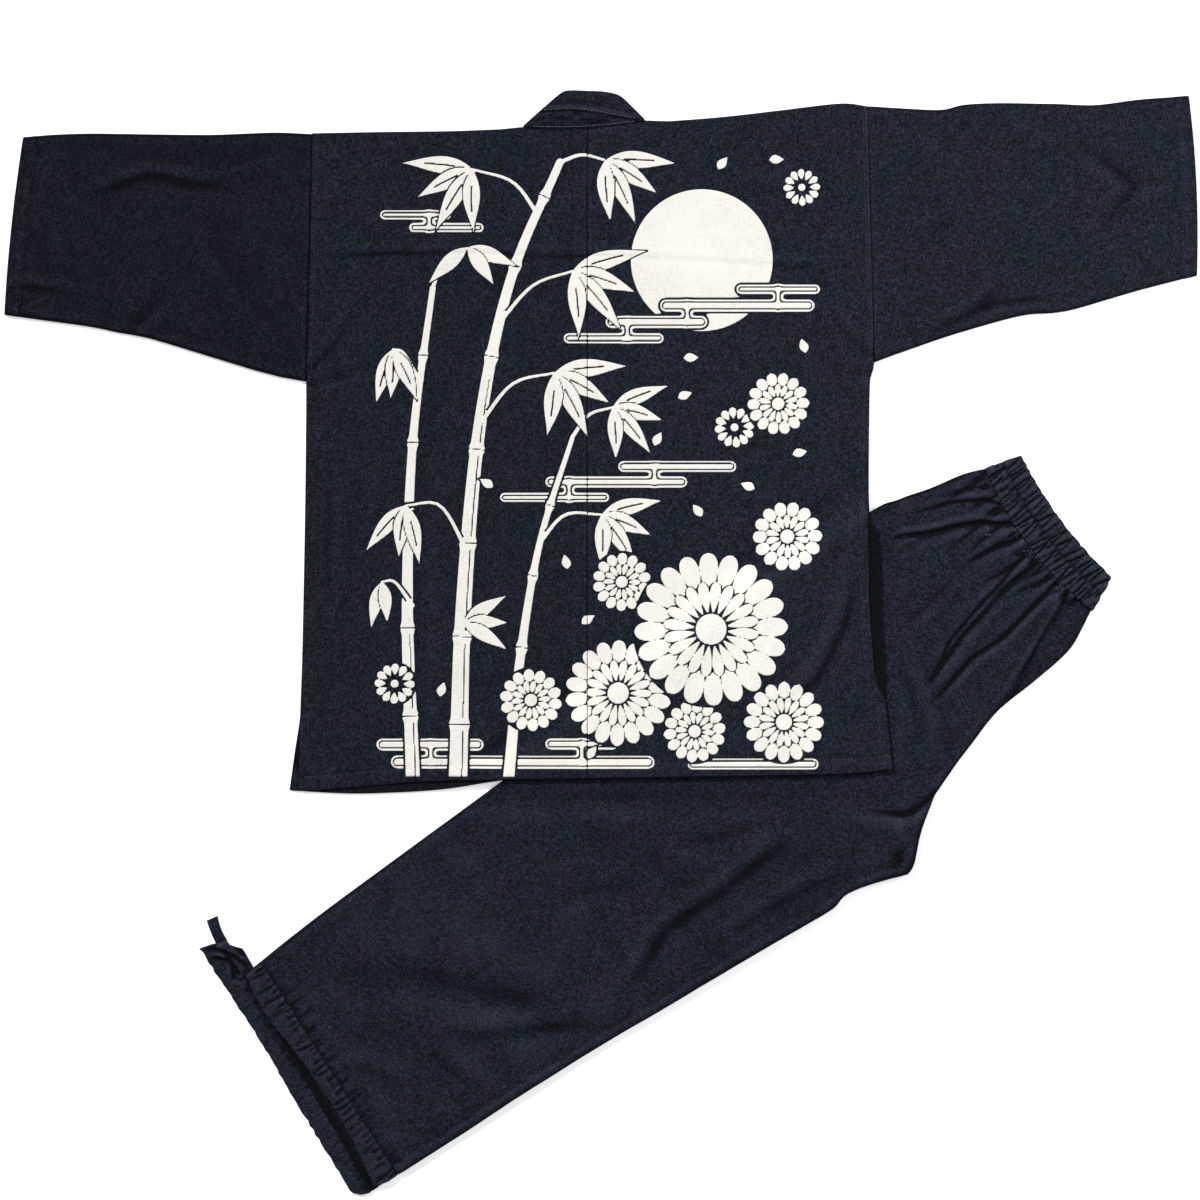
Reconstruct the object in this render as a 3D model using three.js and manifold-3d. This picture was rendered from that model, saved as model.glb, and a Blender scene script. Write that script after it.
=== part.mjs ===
// A samue laid flat: the jacket back up with its sleeves out, and the trousers folded in half
// lengthwise, half under the jacket's lower right side. Millimetres, +Z up, table at z = 0.
import * as THREE from 'three';
import { mergeVertices } from 'three/addons/utils/BufferGeometryUtils.js';
import Module from 'manifold-3d';

const wasm = await Module();
wasm.setup();

// Cloth.
const clothWall = 1.2;
const seamGap = 0.3;
const layerStep = clothWall + seamGap;
const edgeRound = 0.8;
const bottomSteps = 6;

// Trousers, in a leg frame: u runs up the outseam from the cuff, v across towards the inseam.
const legOrigin = { x: -363, y: -341 };
const legAngle = THREE.MathUtils.degToRad(36.3);
const legHeight = 3;
const waistWall = 2.4;
const waistTopWidth = 163;
const waistHeight = 41;
const waistDip = 13;
const waistTopDip = 7;
const waistGathers = 24;
const channelPuff = 1.1;
const gatherDepth = 0.9;
const cuffGathers = 20;
const cuffGatherDepth = 0.5;
const tieTape = { width: 13, length: 30, thickness: 1.6 };
const tieSeat = { u: -36.6, v: -38.4, direction: 114 };

// Trouser legs: outseam (out) and inseam or rise (in) of each section, in the leg frame.
const sharedSections = [
  { outU: 60, outV: 0, inU: 60, inV: 287 },
  { outU: 130, outV: 0, inU: 130, inV: 290.5 },
  { outU: 200, outV: 0, inU: 200, inV: 296 },
  { outU: 270, outV: 0, inU: 270, inV: 302 },
  { outU: 340, outV: 0, inU: 340, inV: 309.5 },
  { outU: 410, outV: 0, inU: 410, inV: 316 },
  { outU: 470, outV: 0, inU: 475, inV: 323 },
  { outU: 515, outV: 0, inU: 527, inV: 328 },
  { outU: 545, outV: 0, inU: 564, inV: 327.5 },
  { outU: 580, outV: 0, inU: 616, inV: 346.5 },
  { outU: 600, outV: 0, inU: 629, inV: 342 },
  { outU: 655, outV: 0, inU: 687, inV: 297 },
  { outU: 730, outV: 0, inU: 763, inV: 271 },
];
const legs = {
  upper: {
    floor: legHeight + seamGap,
    steps: 24,
    cuffSeam: { outU: -14, outV: 6, inU: -31, inV: 281 },
    hips: [
      { outU: 805, outV: 0, inU: 803, inV: 257 },
      { outU: 853, outV: 9, inU: 860, inV: 241 },
      { outU: 897, outV: 22, inU: 898, inV: 220 },
    ],
    waistIn: 207,
  },
  lower: {
    floor: 0,
    steps: 8,
    cuffSeam: { outU: -25, outV: 3, inU: -56, inV: 279 },
    hips: [
      { outU: 805, outV: 0, inU: 804, inV: 260 },
      { outU: 853, outV: 9, inU: 856, inV: 258 },
      { outU: 897, outV: 22, inU: 905, inV: 253 },
    ],
    waistIn: 232,
  },
};

// Pleats that fan from the waistband, by their share of the width, and the long folds of the leg.
const pleats = [
  { start: 0.1, end: 0.2, height: 1.2, reach: 90 },
  { start: 0.26, end: 0.3, height: 2.4, reach: 130 },
  { start: 0.42, end: 0.46, height: 1.8, reach: 60 },
  { start: 0.52, end: 0.66, height: 2.2, reach: 160 },
  { start: 0.68, end: 0.78, height: 2.4, reach: 165 },
  { start: 0.82, end: 0.9, height: 2, reach: 110 },
];
const pleatHalfWidth = 0.06;
const legFolds = [
  { fromU: 40, fromV: 70, toU: 250, toV: 190, height: 1.8, halfWidth: 30 },
  { fromU: 270, fromV: 205, toU: 480, toV: 180, height: 2, halfWidth: 32 },
  { fromU: 540, fromV: 300, toU: 600, toV: 240, height: 1.6, halfWidth: 26 },
];
const waistEase = 0.6;
const jacketEdgeU = 815;
const waistEdgeU = 936;
const waistOut = { u: 948, v: 38.5 };
const waistIn = { u: 951, v: 232 };

// Cuff casings: the rows of each, from its seam with the leg to its hem.
const cuffs = {
  upper: {
    floor: legHeight + seamGap,
    rows: [
      { outU: -14.3, outV: 6, inU: -31.3, inV: 281, bow: 0, puff: 0 },
      { outU: -26, outV: 6, inU: -46, inV: 279, bow: 2, puff: 0.5 },
      { outU: -37, outV: 6, inU: -60, inV: 275, bow: 6, puff: 0 },
    ],
  },
  lower: {
    floor: 0,
    rows: [
      { outU: -22.9, outV: -20, inU: -56.5, inV: 279, bow: 0, puff: 0 },
      { outU: -40, outV: -38, inU: -71, inV: 277, bow: 0.5, puff: 0 },
      { outU: -60, outV: -48, inU: -85, inV: 271, bow: 1, puff: 0 },
    ],
  },
};

// Jacket.
const centreSeamX = -14;
const bandThickness = 2.4;
const drapeRun = 38;
const drapeClear = 2;
const outerTie = { width: 16, length: 265 };
const tieStart = { left: { x: 146, y: 243 }, right: { x: 282, y: 218 } };

// Heights that the layers add up to, and blocks that reach past every edge of a panel.
const legTop = 2 * legHeight + seamGap;
const jacketLift = legTop + seamGap;
const slabReach = { uFrom: -700, uTo: 1500, v: 1500 };
const prismReach = { from: -5, to: 40 };

// Seam lines of the body, x to the right and y towards the collar.
const neckLeft = { x: -85, y: 567 };
const neckRight = { x: 50, y: 574 };
const neckSag = 4;
const neckSteps = 8;

const leftShoulder = [{ x: -317, y: 560 }, { x: -240, y: 561.5 }, { x: -165, y: 562.5 },
  { x: -110, y: 564.5 }];
const rightShoulder = [{ x: 75, y: 573 }, { x: 132, y: 577.5 }, { x: 198, y: 585 }, { x: 264, y: 592.5 },
  { x: 294.5, y: 589.5 }];
const leftArmhole = { top: { x: -317, y: 560 }, bottom: { x: -323.5, y: 287 } };
const rightArmhole = { top: { x: 294.5, y: 589.5 }, bottom: { x: 302, y: 308 } };
const leftSide = [{ x: -323.5, y: 255 }, { x: -324.5, y: 156 }, { x: -326.5, y: 46 }, { x: -328, y: -20 },
  { x: -330, y: -81 }, { x: -330, y: -164 }];
const rightSide = [{ x: 320.5, y: -139.5 }, { x: 316.5, y: -99 }, { x: 312, y: -64 }, { x: 305, y: -50 },
  { x: 300.5, y: -29 }, { x: 299, y: -6 }, { x: 296.5, y: 26 }, { x: 295, y: 69 }, { x: 294.5, y: 130 },
  { x: 295.5, y: 163 }, { x: 297, y: 281 }, { x: 300.5, y: 298 }];
const leftHem = [{ x: -291, y: -161.5 }, { x: -217, y: -155 }, { x: -154, y: -152 }];
const rightHem = [{ x: 251, y: -145 }];
const centreHem = { x: centreSeamX, y: -149.5 };

// Fronts, crossed left over right: each seam line runs down from its neck point.
const frontSlit = [{ x: 296, y: 146 }, { x: 303, y: 128 }, { x: 307.5, y: 90 }, { x: 309, y: 40 },
  { x: 311, y: -12 }, { x: 312, y: -56 }];
const underarmRight = [{ x: 300.5, y: 298 }, { x: 297, y: 281 }];
const frontEdge = {
  left: [{ x: 86, y: 215 }, { x: 96, y: -143 }],
  right: [{ x: -116, y: 215 }, { x: -126, y: -147.5 }],
};
const bandFreeEdge = {
  left: [{ x: -62, y: 585 }, { x: 140, y: 226 }, { x: 148, y: -142 }],
  right: [{ x: 31, y: 590 }, { x: -168, y: 226 }, { x: -178, y: -149 }],
};
const frontLeftHem = [{ x: -342, y: -163.5 }, { x: -288, y: -166.5 }, { x: -243, y: -166.5 },
  { x: -175, y: -162.5 }, { x: -110, y: -152.5 }, { x: -50, y: -146.5 }];
const frontRightHem = [{ x: 0, y: -145.5 }, { x: 251, y: -141 }, { x: 311, y: -136 }];

// Sleeves: flattened tubes, armhole first, top and bottom edge of each section.
const leftSleeve = [
  { topX: -317.4, topY: 559, bottomX: -323.9, bottomY: 287, height: 4.2 },
  { topX: -363, topY: 559, bottomX: -363, bottomY: 295, height: 3.6 },
  { topX: -429, topY: 558, bottomX: -429, bottomY: 314.5, height: 3 },
  { topX: -495, topY: 558, bottomX: -495, bottomY: 334.5, height: 3 },
  { topX: -561, topY: 559, bottomX: -561, bottomY: 347.5, height: 3 },
  { topX: -602, topY: 557.5, bottomX: -614, bottomY: 354.5, height: 3 },
  { topX: -635, topY: 555, bottomX: -655.5, bottomY: 361, height: 3, bow: -1.5 },
];
const rightSleeve = [
  { topX: 294.9, topY: 589, bottomX: 302.4, bottomY: 308.5, height: 4.2 },
  { topX: 330, topY: 587.5, bottomX: 330, bottomY: 319, height: 3.6 },
  { topX: 396, topY: 592, bottomX: 396, bottomY: 341, height: 3 },
  { topX: 462, topY: 593, bottomX: 462, bottomY: 359.5, height: 3 },
  { topX: 528, topY: 593, bottomX: 528, bottomY: 368.5, height: 3 },
  { topX: 594, topY: 597.5, bottomX: 594, bottomY: 388, height: 3 },
  { topX: 648, topY: 600.5, bottomX: 657, bottomY: 404, height: 3, bow: 3.5 },
];
const sleeveSteps = 8;

const denim = (color) => new THREE.MeshStandardMaterial({ color, roughness: 0.92, metalness: 0 });

const along = new THREE.Vector3(Math.cos(legAngle), Math.sin(legAngle), 0);
const across = new THREE.Vector3(Math.sin(legAngle), -Math.cos(legAngle), 0);

function legPoint(u, v, z) {
  const point = new THREE.Vector3(legOrigin.x, legOrigin.y, z);
  return point.addScaledVector(along, u).addScaledVector(across, v);
}

function tablePoint(x, y, z) {
  return new THREE.Vector3(x, y, z);
}

function toManifold(geometry) {
  const bare = geometry.clone();
  bare.deleteAttribute('normal');
  bare.deleteAttribute('uv');
  const merged = mergeVertices(bare, 1e-4);
  return new wasm.Manifold(new wasm.Mesh({
    numProp: 3,
    vertProperties: new Float32Array(merged.attributes.position.array),
    triVerts: new Uint32Array(merged.index.array),
  }));
}

function toGeometry(manifold) {
  const { vertProperties, triVerts } = manifold.getMesh();
  const geometry = new THREE.BufferGeometry();
  geometry.setAttribute('position', new THREE.BufferAttribute(vertProperties, 3));
  geometry.setIndex(new THREE.BufferAttribute(triVerts, 1));
  geometry.computeVertexNormals();
  return geometry;
}

// The cloth lies on the table, climbs to the trousers along their outseam and lies on them beyond it.
function drapedLayer(level, thickness) {
  const stations = [
    { v: -slabReach.v, z: 0 },
    { v: -drapeRun - drapeClear, z: 0 },
    { v: -drapeClear, z: jacketLift },
    { v: slabReach.v, z: jacketLift },
  ];
  const under = stations.map(({ v, z }) => new THREE.Vector2(-v, z + level * layerStep));
  const over = under.map((point) => new THREE.Vector2(point.x, point.y + thickness)).reverse();
  const section = new THREE.Shape([...under, ...over]);
  const depth = slabReach.uTo - slabReach.uFrom;
  const geometry = new THREE.ExtrudeGeometry(section, { depth, bevelEnabled: false, steps: 1 });
  const frame = new THREE.Matrix4().makeBasis(across.clone().negate(), new THREE.Vector3(0, 0, 1), along);
  return geometry.applyMatrix4(frame.setPosition(legPoint(slabReach.uFrom, 0, 0)));
}

function cutPanel(outline, level, thickness = clothWall) {
  const shape = new THREE.Shape(outline.map(({ x, y }) => new THREE.Vector2(x, y)));
  const depth = prismReach.to - prismReach.from;
  const prism = new THREE.ExtrudeGeometry(shape, { depth, bevelEnabled: false, steps: 1 });
  prism.translate(0, 0, prismReach.from);
  return toGeometry(toManifold(drapedLayer(level, thickness)).intersect(toManifold(prism)));
}

function shifted(points, dx, dy) {
  return points.map(({ x, y }) => ({ x: x + dx, y: y + dy }));
}

// One section between edge a and edge b. The upper wall may be lifted into folds, and both walls
// keep the cloth's thickness.
function flatRing(section) {
  const { a, b, bow = 0, floor = 0, height, wall = clothWall, topSteps, lift = () => 0, place } = section;
  const width = Math.hypot(b.p - a.p, b.q - a.q);
  const at = (s, z) => {
    const bend = bow * 4 * s * (1 - s);
    return place(a.p + (b.p - a.p) * s + bend, a.q + (b.q - a.q) * s, z);
  };
  const loop = (inset, side, low, high) => {
    const points = [at(side / width, (low + high) / 2)];
    for (let i = 0; i <= topSteps; i += 1) {
      const s = (inset + (i / topSteps) * (width - 2 * inset)) / width;
      points.push(at(s, high + lift(i / topSteps, s)));
    }
    points.push(at(1 - side / width, (low + high) / 2));
    for (let i = bottomSteps; i >= 0; i -= 1) {
      points.push(at((inset + (i / bottomSteps) * (width - 2 * inset)) / width, low));
    }
    return points;
  };
  return {
    outer: loop(edgeRound, 0, floor, floor + height),
    inner: loop(wall + edgeRound, wall, floor + wall, floor + height - wall),
  };
}

function signedVolume(positions, index) {
  const [p, q, r] = [new THREE.Vector3(), new THREE.Vector3(), new THREE.Vector3()];
  let volume = 0;
  for (let i = 0; i < index.length; i += 3) {
    p.fromArray(positions, 3 * index[i]);
    q.fromArray(positions, 3 * index[i + 1]);
    r.fromArray(positions, 3 * index[i + 2]);
    volume += p.dot(q.cross(r)) / 6;
  }
  return volume;
}

// Joins the sections into one closed wall that is open through both ends.
function tubeWall(rings) {
  const count = rings[0].outer.length;
  const positions = rings.flatMap(({ outer, inner }) => [...outer, ...inner]).flatMap((p) => p.toArray());
  const index = [];
  const quad = (a, b, c, d) => index.push(a, b, c, a, c, d);
  const vertex = (ring, skin, j) => (2 * ring + skin) * count + (j % count);
  for (let i = 0; i < rings.length - 1; i += 1) {
    for (let j = 0; j < count; j += 1) {
      quad(vertex(i, 0, j), vertex(i, 0, j + 1), vertex(i + 1, 0, j + 1), vertex(i + 1, 0, j));
      quad(vertex(i, 1, j), vertex(i + 1, 1, j), vertex(i + 1, 1, j + 1), vertex(i, 1, j + 1));
    }
  }
  const last = rings.length - 1;
  for (let j = 0; j < count; j += 1) {
    quad(vertex(0, 0, j), vertex(0, 1, j), vertex(0, 1, j + 1), vertex(0, 0, j + 1));
    quad(vertex(last, 0, j), vertex(last, 0, j + 1), vertex(last, 1, j + 1), vertex(last, 1, j));
  }
  if (signedVolume(positions, index) < 0) {
    index.reverse();
  }
  const geometry = new THREE.BufferGeometry();
  geometry.setAttribute('position', new THREE.Float32BufferAttribute(positions, 3));
  geometry.setIndex(index);
  geometry.computeVertexNormals();
  return geometry;
}

// The seam under the collar, a shallow curve between the two neck points.
function neckPoint(t) {
  return {
    x: neckLeft.x + (neckRight.x - neckLeft.x) * t,
    y: neckLeft.y + (neckRight.y - neckLeft.y) * t - neckSag * 4 * t * (1 - t),
  };
}

const neckCurve = Array.from({ length: neckSteps + 1 }, (_, i) => neckPoint(i / neckSteps));

function centreNeck() {
  return neckPoint((centreSeamX - neckLeft.x) / (neckRight.x - neckLeft.x));
}

function backLeftOutline() {
  const top = centreNeck();
  return [
    ...leftShoulder, ...neckCurve.filter(({ x }) => x < centreSeamX - 1),
    { x: centreSeamX - seamGap / 2, y: top.y }, { x: centreSeamX - seamGap / 2, y: centreHem.y },
    ...[...leftHem].reverse(), ...[...leftSide].reverse(), leftArmhole.bottom,
  ];
}

function backRightOutline() {
  const top = centreNeck();
  return [
    { x: centreSeamX + seamGap / 2, y: top.y }, ...neckCurve.filter(({ x }) => x > centreSeamX + 1),
    ...rightShoulder, rightArmhole.bottom, ...[...rightSide].reverse(), ...rightHem,
    { x: centreSeamX + seamGap / 2, y: centreHem.y },
  ];
}

function frontLeftOutline() {
  const slitTop = { x: -330, y: -78 };
  return [
    ...leftShoulder, neckLeft, ...frontEdge.left, ...[...frontLeftHem].reverse(),
    slitTop, ...leftSide.slice(0, 4).reverse(), leftArmhole.bottom,
  ];
}

function frontRightOutline() {
  return [
    neckRight, ...rightShoulder, rightArmhole.bottom, ...underarmRight, ...frontSlit,
    ...[...frontRightHem].reverse(), ...[...frontEdge.right].reverse(),
  ];
}

function bandOutline(neck, seam, free) {
  const inward = Math.sign(free[1].x - seam[0].x) * seamGap;
  return [{ x: neck.x + 2 * inward, y: neck.y }, ...shifted(seam, inward, 0), ...[...free].reverse()];
}

function collarOutline() {
  const crown = [{ x: 46, y: 578 }, { x: 22, y: 601 }, { x: 6, y: 605.5 }, { x: -14, y: 606.5 },
    { x: -33, y: 607 }, { x: -43, y: 604 }];
  return [...shifted(neckCurve, 0, seamGap * 1.5), ...crown];
}

function sleeve(sections) {
  return tubeWall(sections.map(({ topX, topY, bottomX, bottomY, height, bow }) => flatRing({
    a: { p: topX, q: topY }, b: { p: bottomX, q: bottomY }, bow, height, topSteps: sleeveSteps,
    place: tablePoint,
  })));
}

function pleatLift(u, s) {
  return pleats.reduce((lift, { start, end, height, reach }) => {
    const down = THREE.MathUtils.clamp((waistEdgeU - u) / reach, 0, 1);
    const centre = start + (end - start) * down;
    const crest = Math.max(0, 1 - Math.abs(s - centre) / pleatHalfWidth);
    return lift + height * crest * (1 - down);
  }, 0);
}

function foldLift(u, v) {
  return legFolds.reduce((lift, { fromU, fromV, toU, toV, height, halfWidth }) => {
    const run = { u: toU - fromU, v: toV - fromV };
    const length = Math.hypot(run.u, run.v);
    const t = ((u - fromU) * run.u + (v - fromV) * run.v) / length ** 2;
    const off = Math.abs((u - fromU) * run.v - (v - fromV) * run.u) / length;
    const crest = Math.max(0, 1 - off / halfWidth);
    const fade = Math.max(0, 1 - Math.abs(2 * t - 1));
    return lift + height * crest * fade;
  }, 0);
}

// The seam between the legs and the waistband dips towards the cuffs in its middle.
function waistSeamU(v) {
  const s = (v - waistOut.v) / (waistIn.v - waistOut.v);
  return waistOut.u + (waistIn.u - waistOut.u) * s - waistDip * 4 * s * (1 - s);
}

function legSection(leg, { outU, outV, inU, inV }) {
  const lift = (step, s) => {
    const u = outU + (inU - outU) * s;
    const v = outV + (inV - outV) * s;
    return pleatLift(u, s) * Number(u > jacketEdgeU) + foldLift(u, v);
  };
  const upper = leg.floor > 0;
  return flatRing({
    a: { p: outU, q: outV }, b: { p: inU, q: inV }, floor: leg.floor, height: legHeight,
    topSteps: leg.steps, lift: upper ? lift : undefined, place: legPoint,
  });
}

function waistSection(leg) {
  const place = (u, v, z) => legPoint(waistSeamU(v) - waistEase, v, z);
  const upper = leg.floor > 0;
  return flatRing({
    a: { p: waistOut.u, q: waistOut.v }, b: { p: waistOut.u, q: leg.waistIn }, floor: leg.floor,
    height: legHeight, topSteps: leg.steps, place,
    lift: upper ? (step) => pleatLift(waistEdgeU, step) : undefined,
  });
}

function legTube(leg) {
  const sections = [leg.cuffSeam, ...sharedSections, ...leg.hips];
  return tubeWall([...sections.map((section) => legSection(leg, section)), waistSection(leg)]);
}

function gathered(count, depth, puff) {
  return (step) => puff + depth * (Math.round(step * 2 * count) % 2 ? 1 : -0.4);
}

function waistband() {
  const rows = [
    { share: 0, puff: 0 }, { share: 0.25, puff: channelPuff }, { share: 0.5, puff: 0 },
    { share: 0.75, puff: channelPuff }, { share: 1, puff: 0 },
  ];
  const topOut = { u: waistOut.u + waistHeight, v: waistOut.v + 12.5 };
  const topIn = { u: topOut.u + 1, v: topOut.v + waistTopWidth };
  return tubeWall(rows.map(({ share, puff }) => {
    const lerp = (from, to) => from + (to - from) * share;
    const dip = lerp(waistDip, waistTopDip);
    const a = { p: lerp(waistOut.u, topOut.u), q: lerp(waistOut.v, topOut.v) };
    const b = { p: lerp(waistIn.u, topIn.u), q: lerp(waistIn.v, topIn.v) };
    return flatRing({
      a, b, bow: -dip, height: legTop, wall: waistWall, topSteps: 2 * waistGathers,
      lift: gathered(waistGathers, gatherDepth, puff), place: legPoint,
    });
  }));
}

function cuffCasing({ floor, rows }) {
  return tubeWall(rows.map(({ outU, outV, inU, inV, bow, puff }) => flatRing({
    a: { p: outU, q: outV }, b: { p: inU, q: inV }, bow, floor, height: legHeight,
    topSteps: 2 * cuffGathers, lift: floor > 0 ? gathered(cuffGathers, cuffGatherDepth, puff) : undefined,
    place: legPoint,
  })));
}

function tape({ width, length, thickness }, start, direction) {
  const geometry = new THREE.BoxGeometry(length, width, thickness);
  geometry.translate(length / 2, 0, thickness / 2);
  const mesh = new THREE.Mesh(geometry);
  mesh.position.set(start.x, start.y, 0);
  mesh.rotation.z = THREE.MathUtils.degToRad(direction);
  return mesh;
}

const samue = new THREE.Group();

function add(name, geometry, color) {
  const mesh = new THREE.Mesh(geometry, denim(color));
  mesh.name = name;
  samue.add(mesh);
}

function addTape(name, mesh, color) {
  mesh.name = name;
  mesh.material = denim(color);
  samue.add(mesh);
}

function addJacket() {
  const indigo = 0x20222d;
  add('back_left', cutPanel(backLeftOutline(), 2), indigo);
  add('back_right', cutPanel(backRightOutline(), 2), indigo);
  add('front_left', cutPanel(frontLeftOutline(), 0), indigo);
  add('front_right', cutPanel(frontRightOutline(), 1), indigo);
  add('collar_neck', cutPanel(collarOutline(), 2, bandThickness), indigo);
  add('collar_left', cutPanel(bandOutline(neckLeft, frontEdge.left, bandFreeEdge.left), 0), indigo);
  add('collar_right', cutPanel(bandOutline(neckRight, frontEdge.right, bandFreeEdge.right), 1), indigo);
  add('sleeve_left', sleeve(leftSleeve), indigo);
  add('sleeve_right', sleeve(rightSleeve), indigo);
  const size = { ...outerTie, thickness: clothWall };
  addTape('tie_left', tape(size, tieStart.left, 65), indigo);
  addTape('tie_right', tape(size, tieStart.right, 90), indigo);
}

function addTrousers() {
  const indigo = 0x22232f;
  add('leg_upper', legTube(legs.upper), indigo);
  add('leg_lower', legTube(legs.lower), indigo);
  add('waistband', waistband(), indigo);
  add('cuff_upper', cuffCasing(cuffs.upper), indigo);
  add('cuff_lower', cuffCasing(cuffs.lower), indigo);
  addTape('cuff_tie', tape(tieTape, legPoint(tieSeat.u, tieSeat.v, 0), tieSeat.direction), indigo);
}

addJacket();
addTrousers();

export default samue;
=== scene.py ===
import bpy
import math
import numpy as np
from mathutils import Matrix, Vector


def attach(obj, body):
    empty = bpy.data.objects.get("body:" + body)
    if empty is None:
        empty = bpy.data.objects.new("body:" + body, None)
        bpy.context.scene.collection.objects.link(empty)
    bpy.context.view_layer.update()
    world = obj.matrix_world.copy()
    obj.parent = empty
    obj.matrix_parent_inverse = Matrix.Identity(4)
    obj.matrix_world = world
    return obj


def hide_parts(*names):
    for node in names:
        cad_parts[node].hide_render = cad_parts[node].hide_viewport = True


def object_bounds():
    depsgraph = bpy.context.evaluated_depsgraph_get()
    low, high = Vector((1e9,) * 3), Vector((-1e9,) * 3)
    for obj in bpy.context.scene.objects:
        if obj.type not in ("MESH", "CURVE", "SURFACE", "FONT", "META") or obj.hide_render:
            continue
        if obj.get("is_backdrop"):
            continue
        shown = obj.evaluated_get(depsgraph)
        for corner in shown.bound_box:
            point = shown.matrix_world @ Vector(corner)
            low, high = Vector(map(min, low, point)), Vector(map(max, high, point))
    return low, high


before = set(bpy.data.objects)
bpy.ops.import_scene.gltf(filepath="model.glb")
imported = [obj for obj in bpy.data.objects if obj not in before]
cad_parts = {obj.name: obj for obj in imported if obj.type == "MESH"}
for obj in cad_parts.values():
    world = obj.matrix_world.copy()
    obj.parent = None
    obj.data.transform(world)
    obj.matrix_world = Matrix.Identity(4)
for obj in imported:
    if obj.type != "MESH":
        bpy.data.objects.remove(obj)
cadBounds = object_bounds()

# Tables and heights are in millimetres in the frame of the set: x to the right, y to the collar,
# z up from the table. They turn into metres only where a mesh is made.
metre = 0.001
cloth = {"wall": 1.2, "gap": 0.3}
legFrame = {"x": -363, "y": -341, "angle": 36.3, "height": 3.0}

# camera and lights stand in metres
view = {"at": (0, 0.0462, 3.3), "lens": 89.85, "clipEnd": 20}
windowLight = {"from": (-0.62, 0.78, 0.72), "strength": 3.3, "spread": 10, "colour": (1.0, 0.985, 0.965)}
sidePanel = {"at": (1.7, 0.6, 1.6), "size": 1.2, "watts": 28, "colour": (0.97, 0.985, 1.0)}
room = {"colour": (0.95, 0.975, 1.0), "strength": 0.27}


def addCamera():
    data = bpy.data.cameras.new("topCamera")
    data.lens = view["lens"]
    data.clip_end = view["clipEnd"]
    camera = bpy.data.objects.new("topCamera", data)
    camera.location = view["at"]
    bpy.context.scene.collection.objects.link(camera)
    bpy.context.scene.camera = camera


def placeLamp(data, place):
    # a lamp at the place, turned to the middle of the set
    lamp = bpy.data.objects.new(data.name, data)
    x, y, z = lamp.location = place
    lamp.rotation_euler = (math.atan2(math.hypot(x, y), z), 0, math.atan2(y, x) + math.pi / 2)
    bpy.context.scene.collection.objects.link(lamp)


def addWindowLight():
    data = bpy.data.lights.new("windowLight", "SUN")
    data.energy = windowLight["strength"]
    data.angle = math.radians(windowLight["spread"])
    data.color = windowLight["colour"]
    placeLamp(data, windowLight["from"])


def addSidePanel():
    data = bpy.data.lights.new("sidePanel", "AREA")
    data.shape = "DISK"
    data.size = sidePanel["size"]
    data.energy = sidePanel["watts"]
    data.color = sidePanel["colour"]
    placeLamp(data, sidePanel["at"])


def addRoom():
    world = bpy.data.worlds.new("softRoom")
    world.use_nodes = True
    background = world.node_tree.nodes["Background"]
    background.inputs["Color"].default_value = (*room["colour"], 1)
    background.inputs["Strength"].default_value = room["strength"]
    bpy.context.scene.world = world
    bpy.context.scene.view_settings.view_transform = "Standard"


addCamera()
addWindowLight()
addSidePanel()
addRoom()
print("camera and lights are up")


# soft steps, slow noise and folds along lines are what every surface below is made of
def softStep(t):
    t = np.clip(t, 0, 1)
    return t * t * (3 - 2 * t)


def slowNoise(x, y, size, seed):
    table = np.random.RandomState(seed).uniform(-1, 1, (64, 64))
    gridX, gridY = np.asarray(x) / size, np.asarray(y) / size
    column, row = np.floor(gridX).astype(int), np.floor(gridY).astype(int)
    shareX, shareY = softStep(gridX - column), softStep(gridY - row)
    corner = lambda dx, dy: table[(column + dx) % 64, (row + dy) % 64]
    low = corner(0, 0) * (1 - shareX) + corner(1, 0) * shareX
    high = corner(0, 1) * (1 - shareX) + corner(1, 1) * shareX
    return low * (1 - shareY) + high * shareY


def smoothLine(points, count):
    # a smooth curve through the points, cut into equal lengths
    knots = np.array(points, float)
    if len(knots) > 2:
        ends = np.vstack([2 * knots[0] - knots[1], knots, 2 * knots[-1] - knots[-2]])
        share = np.linspace(0, 1, 12, endpoint=False)[:, None]
        pieces = []
        for before, start, end, after in zip(ends, ends[1:], ends[2:], ends[3:]):
            bend = 2 * before - 5 * start + 4 * end - after
            twist = 3 * start - before - 3 * end + after
            pieces.append(0.5 * (2 * start + (end - before) * share + bend * share**2 + twist * share**3))
        knots = np.vstack([*pieces, knots[-1:]])
    return evenly(knots, count)


def evenly(points, count):
    points = np.asarray(points, float)
    reach = np.concatenate([[0], np.cumsum(np.hypot(*np.diff(points, axis=0).T))])
    at = np.linspace(0, reach[-1], count)
    return np.column_stack([np.interp(at, reach, points[:, 0]), np.interp(at, reach, points[:, 1])])


def nearLine(x, y, line):
    # distance to the line, signed by its left side, and how far along it as a share
    line = np.asarray(line, float)
    steps = np.diff(line, axis=0)
    lengths = np.hypot(steps[:, 0], steps[:, 1])
    starts = np.concatenate([[0], np.cumsum(lengths)])
    best = np.full(np.shape(x), 1e9)
    side = np.ones(np.shape(x))
    share = np.zeros(np.shape(x))
    for (startX, startY), (stepX, stepY), length, begun in zip(line, steps, lengths, starts):
        t = np.clip(((x - startX) * stepX + (y - startY) * stepY) / length**2, 0, 1)
        offX, offY = x - startX - t * stepX, y - startY - t * stepY
        away = np.hypot(offX, offY)
        nearer = away < best
        best = np.where(nearer, away, best)
        side = np.where(nearer, np.where(stepX * offY - stepY * offX < 0, -1, 1), side)
        share = np.where(nearer, (begun + t * length) / starts[-1], share)
    return best * side, share


def bell(distance, width):
    return np.exp(-((distance / width) ** 2))


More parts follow.
